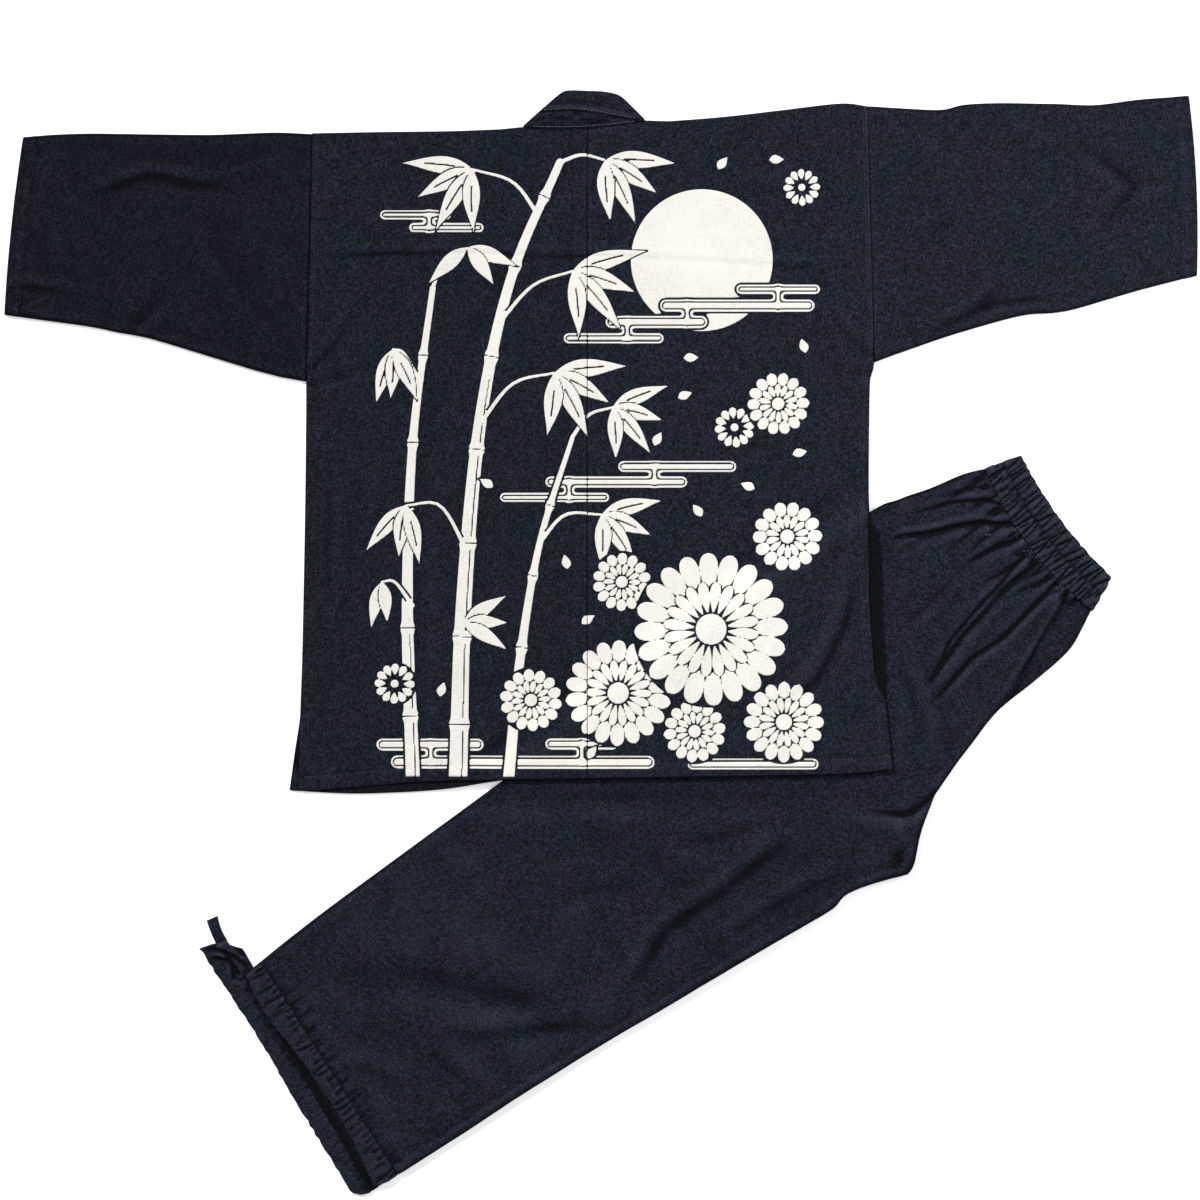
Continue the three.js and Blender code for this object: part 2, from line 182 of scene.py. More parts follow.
def fold(width, rise, cut, cutWidth, shift, line, tail=0.35, rooted=False):
    # one crease: a trough of its depth and width along the line, and a ridge shifted to its left. It
    # fades over its tail, a share of its length, at both ends or only at the far one
    return {"width": width, "rise": rise, "cut": cut, "cutWidth": cutWidth, "shift": shift, "line": line,
            "tail": tail, "rooted": rooted}


def foldHeight(x, y, folds, riseGain=1.0, cutGain=1.0):
    # each fold is a soft ridge beside a narrower trough
    total = np.zeros(np.shape(x))
    for crease in folds:
        line = smoothLine(crease["line"], 4 * len(crease["line"]))
        off, share = nearLine(x, y, line)
        fade = softStep((1 - share) / crease["tail"])
        if not crease["rooted"]:
            fade = fade * softStep(share / crease["tail"])
        ridge = crease["rise"] * bell(off - crease["shift"], crease["width"])
        wide = bell(off, 2.2 * crease["cutWidth"])
        trough = crease["cut"] * (0.65 * bell(off, crease["cutWidth"]) + 0.35 * wide)
        total += fade * (riseGain * ridge - cutGain * trough)
    return total


def foldHollow(x, y, folds):
    # how deep each place lies in a trough
    return -foldHeight(x, y, folds, 0, 1)


def gathers(seed, low, high, pitch, start, shortest, longest):
    # a row of creases side by side, each with its own place, lean, length and depth
    draw = np.random.RandomState(seed)
    table = []
    for k in range(int((high - low) / pitch)):
        length = draw.uniform(shortest, longest)
        table.append({"at": low + pitch * (k + 0.5 + draw.uniform(-0.42, 0.42)),
                      "lean": draw.uniform(-0.16, 0.16), "from": start, "to": start + length,
                      "depth": draw.uniform(0.35, 1.0)})
    return table


def puffed(across, along, creases, width):
    # 1 on the puffs of cloth between the creases, down to 0 in a deep crease
    field = np.ones(np.broadcast(across, along).shape)
    for crease in creases:
        wander = 0.8 * np.sin(along / 7 + 9 * crease["depth"])
        off = across - crease["at"] - crease["lean"] * (along - crease["from"]) - wander
        way = (along - crease["from"]) / (crease["to"] - crease["from"])
        alive = softStep(1 + 6 * way) * softStep((1 - way) / 0.5)
        field = np.minimum(field, 1 - crease["depth"] * alive * np.exp(-np.abs(off) / width))
    return field


def reliefOf(top, reach):
    # how far each place stands above (or lies below) its surroundings, reach in grid steps
    kernel = np.ones(2 * reach + 1) / (2 * reach + 1)
    around = np.pad(top, reach, mode="edge")
    around = np.apply_along_axis(np.convolve, 0, around, kernel, "valid")
    around = np.apply_along_axis(np.convolve, 1, around, kernel, "valid")
    return top - around


def patch(bottom, top, left, right):
    # a grid of places between four edge curves, rows from bottom to top
    s = np.linspace(0, 1, len(bottom))[None, :, None]
    t = np.linspace(0, 1, len(left))[:, None, None]
    across = (1 - t) * bottom[None] + t * top[None]
    upward = (1 - s) * left[:, None] + s * right[:, None]
    corners = (1 - t) * ((1 - s) * bottom[0] + s * bottom[-1]) + t * ((1 - s) * top[0] + s * top[-1])
    return across + upward - corners


def closer(grid, axis, cells, parts):
    # extra lines in the cells next to both edges, where seams and hems are narrow
    last = grid.shape[axis] - 1
    fine = np.arange(cells * parts) / parts
    at = np.unique(np.concatenate([np.arange(last + 1), fine, last - fine]))
    low = np.minimum(at.astype(int), last - 1)
    share = (at - low).reshape((-1, 1, 1) if axis == 0 else (1, -1, 1))
    return grid.take(low, axis) * (1 - share) + grid.take(low + 1, axis) * share


def legShares(x, y):
    # along the folded leg from its cuffs, and across from the outseam
    turn = math.radians(legFrame["angle"])
    dx, dy = np.asarray(x) - legFrame["x"], np.asarray(y) - legFrame["y"]
    return dx * math.cos(turn) + dy * math.sin(turn), dx * math.sin(turn) - dy * math.cos(turn)


def legPlace(u, v):
    turn = math.radians(legFrame["angle"])
    x = legFrame["x"] + np.asarray(u) * math.cos(turn) + np.asarray(v) * math.sin(turn)
    y = legFrame["y"] + np.asarray(u) * math.sin(turn) - np.asarray(v) * math.cos(turn)
    return np.stack([x, y], -1)


def makePiece(name, points, faces, material, grain=None, wearAndShade=None):
    # grain is where each point lies in its weave. wearAndShade darkens it below 0, mostly with painted
    # shade in creases, hollows, under edges and on panels set darker, and pales it above 0 with rubbed
    # wear and painted highlights on ridges and puffs
    mesh = bpy.data.meshes.new(name)
    corners = faces.shape[1]
    mesh.vertices.add(len(points))
    mesh.vertices.foreach_set("co", (points * metre).astype(np.float32).ravel())
    mesh.loops.add(faces.size)
    mesh.loops.foreach_set("vertex_index", faces.astype(np.int32).ravel())
    mesh.polygons.add(len(faces))
    mesh.polygons.foreach_set("loop_start", np.arange(0, faces.size, corners, dtype=np.int32))
    mesh.polygons.foreach_set("use_smooth", np.ones(len(faces), bool))
    mesh.update(calc_edges=True)
    mesh.validate()
    places = points[:, :2] if grain is None else grain
    layer = mesh.uv_layers.new(name="clothGrain")
    layer.uv.foreach_set("vector", (places[faces.ravel()] * metre).astype(np.float32).ravel())
    worn = mesh.attributes.new("wearAndShade", "FLOAT", "POINT")
    amount = np.zeros(len(points)) if wearAndShade is None else wearAndShade
    worn.data.foreach_set("value", amount.astype(np.float32))
    mesh.materials.append(material)
    piece = bpy.data.objects.new(name, mesh)
    bpy.context.scene.collection.objects.link(piece)
    return piece


def gridFaces(rows, columns, flip=False):
    index = np.arange(rows * columns).reshape(rows, columns)
    faces = np.stack([index[:-1, :-1], index[:-1, 1:], index[1:, 1:], index[1:, :-1]], -1).reshape(-1, 4)
    return faces[:, ::-1] if flip else faces


def borderOf(rows, columns):
    index = np.arange(rows * columns).reshape(rows, columns)
    return np.concatenate([index[0, :-1], index[:-1, -1], index[-1, :0:-1], index[:0:-1, 0]])


def toEdges(grid, *edges):
    # how far each place of a grid is from the nearest of some edges
    return np.minimum.reduce([np.linalg.norm(grid - edge, axis=-1) for edge in edges])


def edgeDistance(grid):
    return toEdges(grid, grid[:, :1], grid[:, -1:], grid[:1], grid[-1:])


def drawnIn(grid, inset):
    # the same grid with its long sides drawn in by a share of its width
    share = np.linspace(0, 1, grid.shape[1])
    kept = inset + (1 - 2 * inset) * share
    return np.stack([np.stack([np.interp(kept, share, row[:, k]) for k in (0, 1)], -1) for row in grid])


def panelShell(name, grid, top, material, thick=None, wearAndShade=None, grain=None):
    # a sheet with an upper and a lower face and soft cut edges
    thick = np.full(top.shape, cloth["wall"]) if thick is None else thick
    under = top - thick
    rows, columns = top.shape
    border = borderOf(rows, columns)
    upper = top.ravel().copy()
    lower = under.ravel().copy()
    bevel = 0.3 * thick.ravel()[border]
    upper[border] -= bevel
    lower[border] += bevel
    flat = grid.reshape(-1, 2)
    points = np.vstack([np.column_stack([flat, upper]), np.column_stack([flat, lower])])
    count = rows * columns
    following = np.roll(border, -1)
    rim = np.stack([border + count, following + count, following, border], -1)
    faces = np.vstack([gridFaces(rows, columns), gridFaces(rows, columns, True) + count, rim])
    worn = None if wearAndShade is None else np.tile(wearAndShade.ravel(), 2)
    weave = None if grain is None else np.tile(grain.reshape(-1, 2), (2, 1))
    return makePiece(name, points, faces, material, weave, worn)


def tubeShell(name, grid, top, bottom, material, wall=None, underStep=4, wearAndShade=None, grain=None):
    # a flattened tube: rows run along it, columns across, and the sides turn over in a small round
    wall = cloth["wall"] if wall is None else wall
    rows, columns = top.shape
    high, low = top - wall / 2, bottom + wall / 2
    picked = np.unique(np.append(np.arange(0, columns, underStep), columns - 1))[::-1]
    angles = np.radians([45, 0, -45])
    places, ups, outs = [], [], []
    places.append(np.dstack([grid, high]))
    ups.append(np.ones((rows, columns)))
    outs.append(np.zeros((rows, columns, 2)))

    def turnOver(column, inner, order):
        outward = grid[:, column] - grid[:, inner]
        outward = outward / np.linalg.norm(outward, axis=-1, keepdims=True)
        middle = (high[:, column] + low[:, column]) / 2
        radius = (high[:, column] - low[:, column]) / 2
        for angle in order:
            at = grid[:, column] + outward * (radius * math.cos(angle))[:, None]
            places.append(np.dstack([at[:, None], (middle + radius * math.sin(angle))[:, None]]))
            ups.append(np.full((rows, 1), math.sin(angle)))
            outs.append((outward * math.cos(angle))[:, None])

    turnOver(columns - 1, columns - 2, angles)
    places.append(np.dstack([grid[:, picked], low[:, picked]]))
    ups.append(-np.ones((rows, len(picked))))
    outs.append(np.zeros((rows, len(picked), 2)))
    turnOver(0, 1, angles[::-1])
    middle = np.concatenate(places, 1)
    normal = np.dstack([np.concatenate(outs, 1), np.concatenate(ups, 1)])
    around = middle.shape[1]
    outer = middle + normal * wall / 2
    inner = middle - normal * wall / 2
    points = np.concatenate([outer.reshape(-1, 3), inner.reshape(-1, 3)])
    index = np.arange(rows * around).reshape(rows, around)
    ahead = np.roll(index, -1, axis=1)
    skin = np.stack([index[:-1], ahead[:-1], ahead[1:], index[1:]], -1).reshape(-1, 4)
    count = rows * around
    first = np.stack([index[0] + count, ahead[0] + count, ahead[0], index[0]], -1)
    last = np.stack([index[-1], ahead[-1], ahead[-1] + count, index[-1] + count], -1)
    faces = np.vstack([skin, skin[:, ::-1] + count, first, last])
    span, run = grid[0, 1] - grid[0, 0], grid[1, 0] - grid[0, 0]
    if span[0] * run[1] - span[1] * run[0] < 0:
        faces = faces[:, ::-1]

    def spread(values):
        sides = [values, np.repeat(values[:, -1:], 3, 1), values[:, picked],
                 np.repeat(values[:, :1], 3, 1)]
        return np.concatenate(sides, 1)

    worn = None
    if wearAndShade is not None:
        worn = np.tile(spread(wearAndShade).ravel(), 2)
    weave = None
    if grain is not None:
        both = np.stack([spread(grain[..., 0]), spread(grain[..., 1])], -1).reshape(-1, 2)
        weave = np.tile(both, (2, 1))
    return makePiece(name, points, faces, material, weave, worn)


class Finish:
    # a short way to lay nodes: each call adds one node and links what it is given
    def __init__(self, name):
        self.material = bpy.data.materials.new(name)
        self.material.use_nodes = True
        self.tree = self.material.node_tree
        self.shader = self.tree.nodes["Principled BSDF"]

    def node(self, kind, settings=None, **inputs):
        node = self.tree.nodes.new(kind)
        for key, value in (settings or {}).items():
            setattr(node, key, value)
        for key, value in inputs.items():
            self.put(node, key, value)
        return node

    def put(self, node, key, value):
        socket = node.inputs[int(key[1:]) if key[0] == "i" and key[1:].isdigit() else key]
        if isinstance(value, bpy.types.NodeSocket):
            self.tree.links.new(value, socket)
        else:
            socket.default_value = value

    def math(self, operation, first, second=0.0, clamp=False):
        settings = {"operation": operation, "use_clamp": clamp}
        return self.node("ShaderNodeMath", settings, i0=first, i1=second).outputs[0]

    def noise(self, place, scale, detail=2.0, rough=0.5):
        settings = {"Vector": place, "Scale": scale, "Detail": detail, "Roughness": rough}
        return self.node("ShaderNodeTexNoise", None, **settings).outputs["Fac"]

    def inCloth(self):
        # where a point lies in its weave, in metres
        return self.node("ShaderNodeUVMap", {"uv_map": "clothGrain"}).outputs["UV"]

    def stretch(self, place, scale, turn=0.0):
        node = self.node("ShaderNodeMapping", None, Vector=place, Scale=scale, Rotation=(0, 0, turn))
        return node.outputs["Vector"]

    def ramp(self, value, low, high, bottom=0.0, top=1.0):
        node = self.node("ShaderNodeMapRange", {"interpolation_type": "SMOOTHSTEP"}, Value=value)
        for key, number in (("From Min", low), ("From Max", high), ("To Min", bottom), ("To Max", top)):
            node.inputs[key].default_value = number
        return node.outputs["Result"]

    def blend(self, share, first, second, kind="MIX"):
        node = self.node("ShaderNodeMix", {"data_type": "RGBA", "blend_type": kind})
        self.put(node, "i0", share)
        self.put(node, "i6", first)
        self.put(node, "i7", second)
        return node.outputs[2]

    def total(self, parts):
        # the sum of some fields, each times its share
        whole = 0.0
        for field, share in parts:
            whole = self.math("ADD", whole, self.math("MULTIPLY", field, share))
        return whole

    def bump(self, height, distance, strength=1.0):
        node = self.node("ShaderNodeBump", None, Height=height, Distance=distance, Strength=strength)
        return node.outputs["Normal"]

    def finish(self, colour, normal, roughness, specular, sheen=0.0, sheenTint=(1, 1, 1)):
        self.put(self.shader, "Base Color", colour)
        self.put(self.shader, "Normal", normal)
        self.put(self.shader, "Roughness", roughness)
        self.put(self.shader, "Specular IOR Level", specular)
        self.put(self.shader, "Sheen Weight", sheen)
        self.put(self.shader, "Sheen Roughness", 0.55)
        self.put(self.shader, "Sheen Tint", (*sheenTint, 1))
        return self.material


twill = {"rib": 1.15, "angle": 62, "slubLength": 14, "slubWidth": 1.0, "pickLength": 9, "pickWidth": 1.1,
         "grain": 1.5, "fleck": 1.3, "cloud": 13, "mottle": 75}


def solid(colour):
    return (*colour, 1)


def yarnWise(look, place, wide, long):
    # scales the cloth so that one cell of a pattern is this wide and long
    return look.stretch(place, (1 / (wide * metre), 1 / (long * metre), 1))


def weaveHeights(look, place):
    # diagonal twill ribs broken up by uneven yarns, and long slubs in the warp
    turned = look.stretch(place, (1, 1, 1), math.radians(twill["angle"]))
    ribScale = 2 * math.pi / (20 * twill["rib"] * metre)
    wave = look.node("ShaderNodeTexWave", {"bands_direction": "X"}, Vector=turned, Scale=ribScale,
                     Distortion=2.2, Detail=2.0)
    wave.inputs["Detail Scale"].default_value = 1.6
    ribs = wave.outputs["Fac"]
    slubs = look.noise(yarnWise(look, place, twill["slubWidth"], twill["slubLength"]), 1.0, 3.0, 0.6)
    picks = look.noise(yarnWise(look, place, twill["pickLength"], twill["pickWidth"]), 1.0, 2.0, 0.5)
    grain = look.noise(place, 1 / (twill["grain"] * metre), 4.0, 0.65)
    return ribs, slubs, picks, grain


def yarnFloats(look, place, long, wide, turn):
    # one random tone for each float of yarn
    turned = yarnWise(look, look.stretch(place, (1, 1, 1), turn), wide, long)
    settings = {"Vector": turned, "Scale": 1.0, "Randomness": 0.9}
    cells = look.node("ShaderNodeTexVoronoi", {"voronoi_dimensions": "2D"}, **settings)
    return look.node("ShaderNodeSeparateColor", None, Color=cells.outputs["Color"]).outputs["Red"]


def indigoCotton(name, tones):
    look = Finish(name)
    place = look.inCloth()
    ribs, slubs, picks, grain = weaveHeights(look, place)
    patches = look.noise(place, 1 / (twill["mottle"] * metre), 4.0, 0.62)
    cloudy = look.noise(place, 1 / (twill["cloud"] * metre), 4.0, 0.65)
    faded = look.noise(look.stretch(place, (1, 1, 1), 0.7), 1 / (twill["mottle"] * metre), 4.0, 0.6)
    wearAndShade = look.node("ShaderNodeAttribute", {"attribute_name": "wearAndShade"}).outputs["Fac"]
    hue = look.ramp(look.total([(patches, 0.78), (cloudy, 0.22)]), 0.37, 0.63)
    base = look.blend(hue, solid(tones["teal"]), solid(tones["violet"]))
    base = look.blend(look.ramp(faded, 0.55, 0.72, 0.0, 0.55), base, solid(tones["dusk"]))
    # each field takes the shade from dark to light between two of its own values. The last, wearAndShade,
    # lays in the painted shade and darker tone carried by each piece
    shade = 1.0
    for field, low, high, dark, light in (
            (grain, 0.3, 0.72, 0.62, 1.4), (ribs, 0.0, 1.0, 0.84, 1.14), (slubs, 0.3, 0.7, 0.74, 1.26),
            (picks, 0.3, 0.7, 0.8, 1.2), (cloudy, 0.3, 0.7, 0.88, 1.12),
            (yarnFloats(look, place, 1.9, 1.15, 0.35), 0.0, 1.0, 0.28, 1.78),
            (yarnFloats(look, place, 1.1, 2.2, 0.0), 0.0, 1.0, 0.68, 1.34), (wearAndShade, -1.6, 0.0, 0.07, 1.0)):
        shade = look.math("MULTIPLY", shade, look.ramp(field, low, high, dark, light))
    gray = look.node("ShaderNodeCombineColor", None, Red=shade, Green=shade, Blue=shade).outputs["Color"]
    base = look.blend(1.0, base, gray, "MULTIPLY")
    flecks = look.ramp(look.noise(place, 1 / (twill["fleck"] * metre), 1.0, 0.5), 0.62, 0.78)
    base = look.blend(look.math("MULTIPLY", flecks, tones["flecks"]), base, solid(tones["bare"]))
    # where wearAndShade is above 0 the cloth pales towards bare yarn: rubbed edges and painted highlights
    rubbedAndPaintedLight = look.math("MULTIPLY", wearAndShade, look.ramp(grain, 0.35, 0.65, 0.2, 1.0), True)
    base = look.blend(look.math("MULTIPLY", rubbedAndPaintedLight, tones["wearAndShade"]), base, solid(tones["bare"]))
    height = look.total([(ribs, 0.35), (grain, 0.8), (slubs, 0.35), (picks, 0.2)])
    normal = look.bump(height, 0.5 * metre, tones["relief"])
    return look.finish(base, normal, 0.93, 0.1, 0.06, (0.55, 0.6, 0.75))


# wearAndShade is how strongly rubbed wear and painted highlights pale each cloth towards its bare yarn
jacketTones = {
    "teal": (0.0069, 0.0112, 0.0182), "violet": (0.0114, 0.0101, 0.0203),
    "dusk": (0.0092, 0.0092, 0.0112), "bare": (0.07, 0.082, 0.112), "flecks": 0.3, "wearAndShade": 0.22,
    "relief": 0.9,
}
trouserTones = {
    "teal": (0.0070, 0.0105, 0.0186), "violet": (0.0108, 0.0100, 0.0210), "dusk": (0.009, 0.0088, 0.012),
    "bare": (0.072, 0.082, 0.118), "flecks": 0.28, "wearAndShade": 0.22, "relief": 0.9,
}
inkTones = {"bright": (0.83, 0.81, 0.75), "worn": (0.66, 0.655, 0.62), "groove": (0.36, 0.36, 0.37)}
threadTones = {"jacketThread": (0.038, 0.045, 0.066), "trouserThread": (0.036, 0.042, 0.064),
               "paleThread": (0.15, 0.165, 0.2)}


def printInk():
    # ink fills the weave, so its relief is that of the cloth, with bare grooves where it is thin
    look = Finish("whiteInk")
    place = look.inCloth()
    ribs, slubs, picks, grain = weaveHeights(look, place)
    thin = look.noise(place, 1 / (70 * metre), 3.0, 0.6)
    yarns = look.total([(slubs, 0.5), (picks, 0.5)])
    worn = look.math("MULTIPLY", look.ramp(yarns, 0.4, 0.66), look.ramp(thin, 0.35, 0.65, 0.3, 1.0))
    colour = look.blend(worn, solid(inkTones["bright"]), solid(inkTones["worn"]))
    pits = look.ramp(grain, 0.62, 0.76, 0.0, 0.4)
    colour = look.blend(pits, colour, solid(inkTones["groove"]))
    height = look.total([(ribs, 0.3), (yarns, 0.9), (grain, 0.5)])
    return look.finish(colour, look.bump(height, 0.4 * metre, 0.7), 0.88, 0.15)


def sewingThread(name):
    look = Finish(name)
    place = look.node("ShaderNodeTexCoord").outputs["Object"]
    twist = look.noise(place, 2600, 2.0)
    dark, light = (solid([gain * tone for tone in threadTones[name]]) for gain in (0.7, 1.3))
    colour = look.blend(look.ramp(twist, 0.35, 0.65), dark, light)
    return look.finish(colour, look.bump(twist, 0.1 * metre, 0.6), 0.7, 0.25)


def paleTable():
    look = Finish("paleTable")
    place = look.node("ShaderNodeTexCoord").outputs["Object"]
    tone = look.noise(place, 3.0, 2.0)
    colour = look.blend(tone, (0.985, 0.985, 0.98, 1), (1, 1, 0.995, 1))
    look.put(look.shader, "Emission Color", (1, 1, 1, 1))
    look.put(look.shader, "Emission Strength", 0.4)
    return look.finish(colour, look.bump(look.noise(place, 90, 2.0), 0.05 * metre, 0.2), 0.9, 0.1)


jacketCotton = indigoCotton("jacketCotton", jacketTones)
trouserCotton = indigoCotton("trouserCotton", trouserTones)
whiteInk = printInk()
jacketThread = sewingThread("jacketThread")
trouserThread = sewingThread("trouserThread")
paleThread = sewingThread("paleThread")
print("finishes are mixed")


# stitching is short grains of thread laid along a line on a surface
stitch = {"pitch": 3.4, "length": 2.5, "radius": 0.3, "proud": 0.12}


def stitchPoints(line, surface, seed, inset=4):
    line = np.asarray(line, float)
    total = np.hypot(*np.diff(line, axis=0).T).sum()
    count = max(int((total - 2 * inset) / stitch["pitch"]), 2)
    reach = np.concatenate([[0], np.cumsum(np.hypot(*np.diff(line, axis=0).T))])
    draw = np.random.RandomState(seed)
    middle = inset + stitch["pitch"] * (np.arange(count) + 0.5) + draw.uniform(-0.25, 0.25, count)
    half = stitch["length"] / 2 * draw.uniform(0.88, 1.08, count)
    drift = draw.uniform(-0.18, 0.18, count)
    ends = []
    for at in (middle - half, middle + half):
        ends.append(np.column_stack([np.interp(at, reach, line[:, k]) for k in (0, 1)]))
    start, end = ends
    along = end - start
    along = along / np.linalg.norm(along, axis=1, keepdims=True)
    aside = np.column_stack([-along[:, 1], along[:, 0]])
    start, end = start + aside * drift[:, None], end + aside * drift[:, None]
    points = []
    radius = stitch["radius"]
    for share, thick in ((0, 0.25), (0.2, 1), (0.8, 1), (1, 0.25)):
        centre = start + (end - start) * share
        sunk = -0.18 if thick < 1 else stitch["proud"]
        height = surface(centre[:, 0], centre[:, 1]) + sunk
        for turn in (0, 1, 2, 3, 4):
            angle = 2 * math.pi * turn / 5
            side = aside * (radius * thick * math.cos(angle))
            lift = height + radius * thick * math.sin(angle)
            points.append(np.column_stack([centre + side, lift]))
    return np.stack(points, 1)


def stitching(name, rows, material, inset=4):
    # rows is a list of lines with the surface each one lies on
    sets = [stitchPoints(line, surface, 40 + k, inset) for k, (line, surface) in enumerate(rows)]
    grains = np.concatenate(sets)
    count = len(grains)
    ring = np.arange(5)
    ahead = (ring + 1) % 5
    body = np.concatenate([np.stack([ring + 5 * k, ring + 5 * k + 5, ahead + 5 * k + 5, ahead + 5 * k],
                                    -1)
                           for k in range(3)])
    triangles = np.vstack([body[:, [0, 1, 2]], body[:, [0, 2, 3]],
                           [[0, 1, 2], [0, 2, 4], [2, 3, 4], [15, 17, 16], [15, 19, 17], [17, 19, 18]]])
    faces = (triangles[None] + 20 * np.arange(count)[:, None, None]).reshape(-1, 3)
    return makePiece(name, grains.reshape(-1, 3), faces, material)


# the jacket: its layers, what they lie on and the seams that shape them
jacket = {
    "centreSeam": -14, "drapeRun": 48, "drapeStart": -44, "trouserTop": 6.75,
    "hemBand": 17, "slitBand": 9, "allowance": 15, "step": 4.1, "hiddenStep": 9.5,
    "long": 730, "halfWide": 322, "frontWide": 430,
    # the left half's darker tone is painted shade, as the light falls off to the left
    "tone": {"left": -0.27, "right": 0.0},
}
neck = {"left": (-85, 567), "right": (50, 574), "sag": 4}
leftShoulder = [(-317, 560), (-240, 561.5), (-165, 562.5), (-110, 564.5)]
rightShoulder = [(75, 573), (132, 577.5), (198, 585), (264, 592.5), (294.5, 589.5)]
leftSide = [(-330, -164), (-330.5, -122), (-330, -81), (-328, -20), (-326.5, 46), (-324.5, 156),
            (-323.5, 255), (-323.5, 287)]
rightSide = [(320.5, -139.5), (316.5, -99), (312, -64), (305, -50), (300.5, -29), (299, -6), (296.5, 26),
             (295, 69), (294.5, 130), (295.5, 163), (297, 281), (300.5, 298), (302, 308)]
leftArmhole = [(-323.5, 287), (-317, 560)]
rightArmhole = [(302, 308), (294.5, 589.5)]
backHem = [(-330, -164), (-291, -161.5), (-217, -155), (-154, -152), (-14, -149.5), (251, -145),
           (320.5, -139.5)]
collarRightFree = [(31, 590), (-168, 226), (-178, -149)]

jacketFolds = [
    fold(7, 0.55, 0.5, 2.6, 5, [(-316, 427), (-165, 428), (0, 424), (110, 419), (205, 414), (290, 413)],
         0.12),
    fold(15, 1.5, 0.7, 6, -13, [(287, 112), (275, 44), (262, 4), (233, -45), (180, -86)]),
    fold(13, 0.8, 0.3, 6, 9, [(296, 190), (268, 130), (252, 60)]),
    fold(9, 0.7, 0.25, 5, 8, [(-298, 228), (-296, 156), (-299, 90), (-296, 20)]),
    fold(10, 0.8, 0.45, 4.5, 8, [(-318, 300), (-280, 345), (-250, 402)], 0.8, True),
    fold(9, 0.6, 0.3, 4, -7, [(-320, 282), (-262, 300), (-205, 306)], 0.8, True),
    fold(10, 0.8, 0.4, 4.5, -8, [(298, 318), (262, 352), (240, 402)], 0.8, True),
    fold(10, 0.55, 0.3, 4.5, 7, [(296, 292), (240, 300), (196, 292)], 0.8, True),
    fold(14, 0.5, 0.2, 7, 10, [(-200, 470), (-130, 515), (-92, 552)]),
    fold(14, 0.5, 0.2, 7, 10, [(120, 528), (170, 500), (230, 492)]),
    fold(20, 0.7, 0.2, 9, 12, [(-240, -20), (-150, -42), (-60, -28)]),
    fold(18, 0.5, 0.2, 9, -12, [(-110, 60), (-60, 110), (-20, 190)]),
    fold(20, 0.7, 0.3, 9, 14, [(40, -70), (120, -30), (190, 40)]),
]


def neckLine(count):
    share = np.linspace(0, 1, count)
    (leftX, leftY), (rightX, rightY) = neck["left"], neck["right"]
    y = leftY + (rightY - leftY) * share - neck["sag"] * 4 * share * (1 - share)
    return np.column_stack([leftX + (rightX - leftX) * share, y])


def overTrousers(x, y):
    across = legShares(x, y)[1]
    return jacket["trouserTop"] * softStep((across - jacket["drapeStart"]) / jacket["drapeRun"])


def bodyRise(x, y):
    # what every layer of the body follows: the trousers below, the folds and a slow unevenness
    slow = 0.55 * (1 + slowNoise(x, y, 95, 3)) + 0.22 * (1 + slowNoise(x, y, 34, 5))
    return overTrousers(x, y) + slow + foldHeight(x, y, jacketFolds, 0.7, 1.4)


def rightFrontBelow(x, y):
    # 1 where the right front lies between the left front and the back
    off = nearLine(x, y, collarRightFree)[0]
    return softStep((off + 34) / 30)


def sideDrop(x, y):
    # the side seam pulls the right edge of back and front down to the table
    off = nearLine(x, y, rightSide[8:] + [rightArmhole[-1]])[0]
    return 1.3 * (1 - softStep(np.abs(off) / 7)) * softStep((130 - np.abs(y - 215)) / 30)


def pucker(x, y, away, size=7.5, depth=0.2, seed=11):
    return depth * slowNoise(x, y, size, seed) * bell(away, 9)


def backTop(x, y):
    x, y = np.asarray(x, float), np.asarray(y, float)
    level = 2 * cloth["wall"] + 2 * cloth["gap"] - 1.5 * (1 - rightFrontBelow(x, y))
    height = bodyRise(x, y) + level + cloth["wall"] - sideDrop(x, y)
    seam = x - jacket["centreSeam"]
    height += 0.5 * softStep((seam + jacket["allowance"] + 3) / 3.5) * (seam < 0)
    height += -0.6 * bell(seam, 0.9) + pucker(x, y, seam, 7.5, 0.14)
    hem = nearLine(x, y, backHem)[0] - jacket["hemBand"]
    height += 0.55 * softStep(-hem / 2.5) + pucker(x, y, hem, 8, 0.22, 13)
    height -= 0.35 * bell(hem + 1.5, 1.1)
    for side, low, high, reach in ((leftSide[:3], -170, -78, 1), (rightSide[:10], -150, 152, -1)):
        off = reach * nearLine(x, y, side)[0]
        near = softStep((high - y) / 12)
        height += near * 0.35 * softStep((jacket["slitBand"] + off) / 2)
        height += near * pucker(x, y, off + jacket["slitBand"], 7, 0.16, 15)
    for armhole in (leftArmhole, rightArmhole):
        off = np.abs(nearLine(x, y, armhole)[0])
        height += -0.5 * bell(off, 1.0) + 0.1 * bell(off - 4, 3) + pucker(x, y, off - 5, 8, 0.14, 17)
    top = np.abs(nearLine(x, y, neckLine(24))[0])
    height += -0.5 * bell(top, 1.6) + pucker(x, y, top, 7, 0.2, 19)
    return height


def sideCurves(step):
    rows = int(jacket["long"] / step)
    left = evenly(np.vstack([smoothLine(leftSide, 160), smoothLine(leftArmhole, 2)]), rows)
    right = evenly(np.vstack([smoothLine(rightSide, 160), smoothLine(rightArmhole, 2)]), rows)
    return left, right, rows


def splitHem(hem, half):
    centre = jacket["centreSeam"]
    curve = smoothLine(hem, 400)
    return curve[curve[:, 0] < centre] if half == "left" else curve[curve[:, 0] > centre]


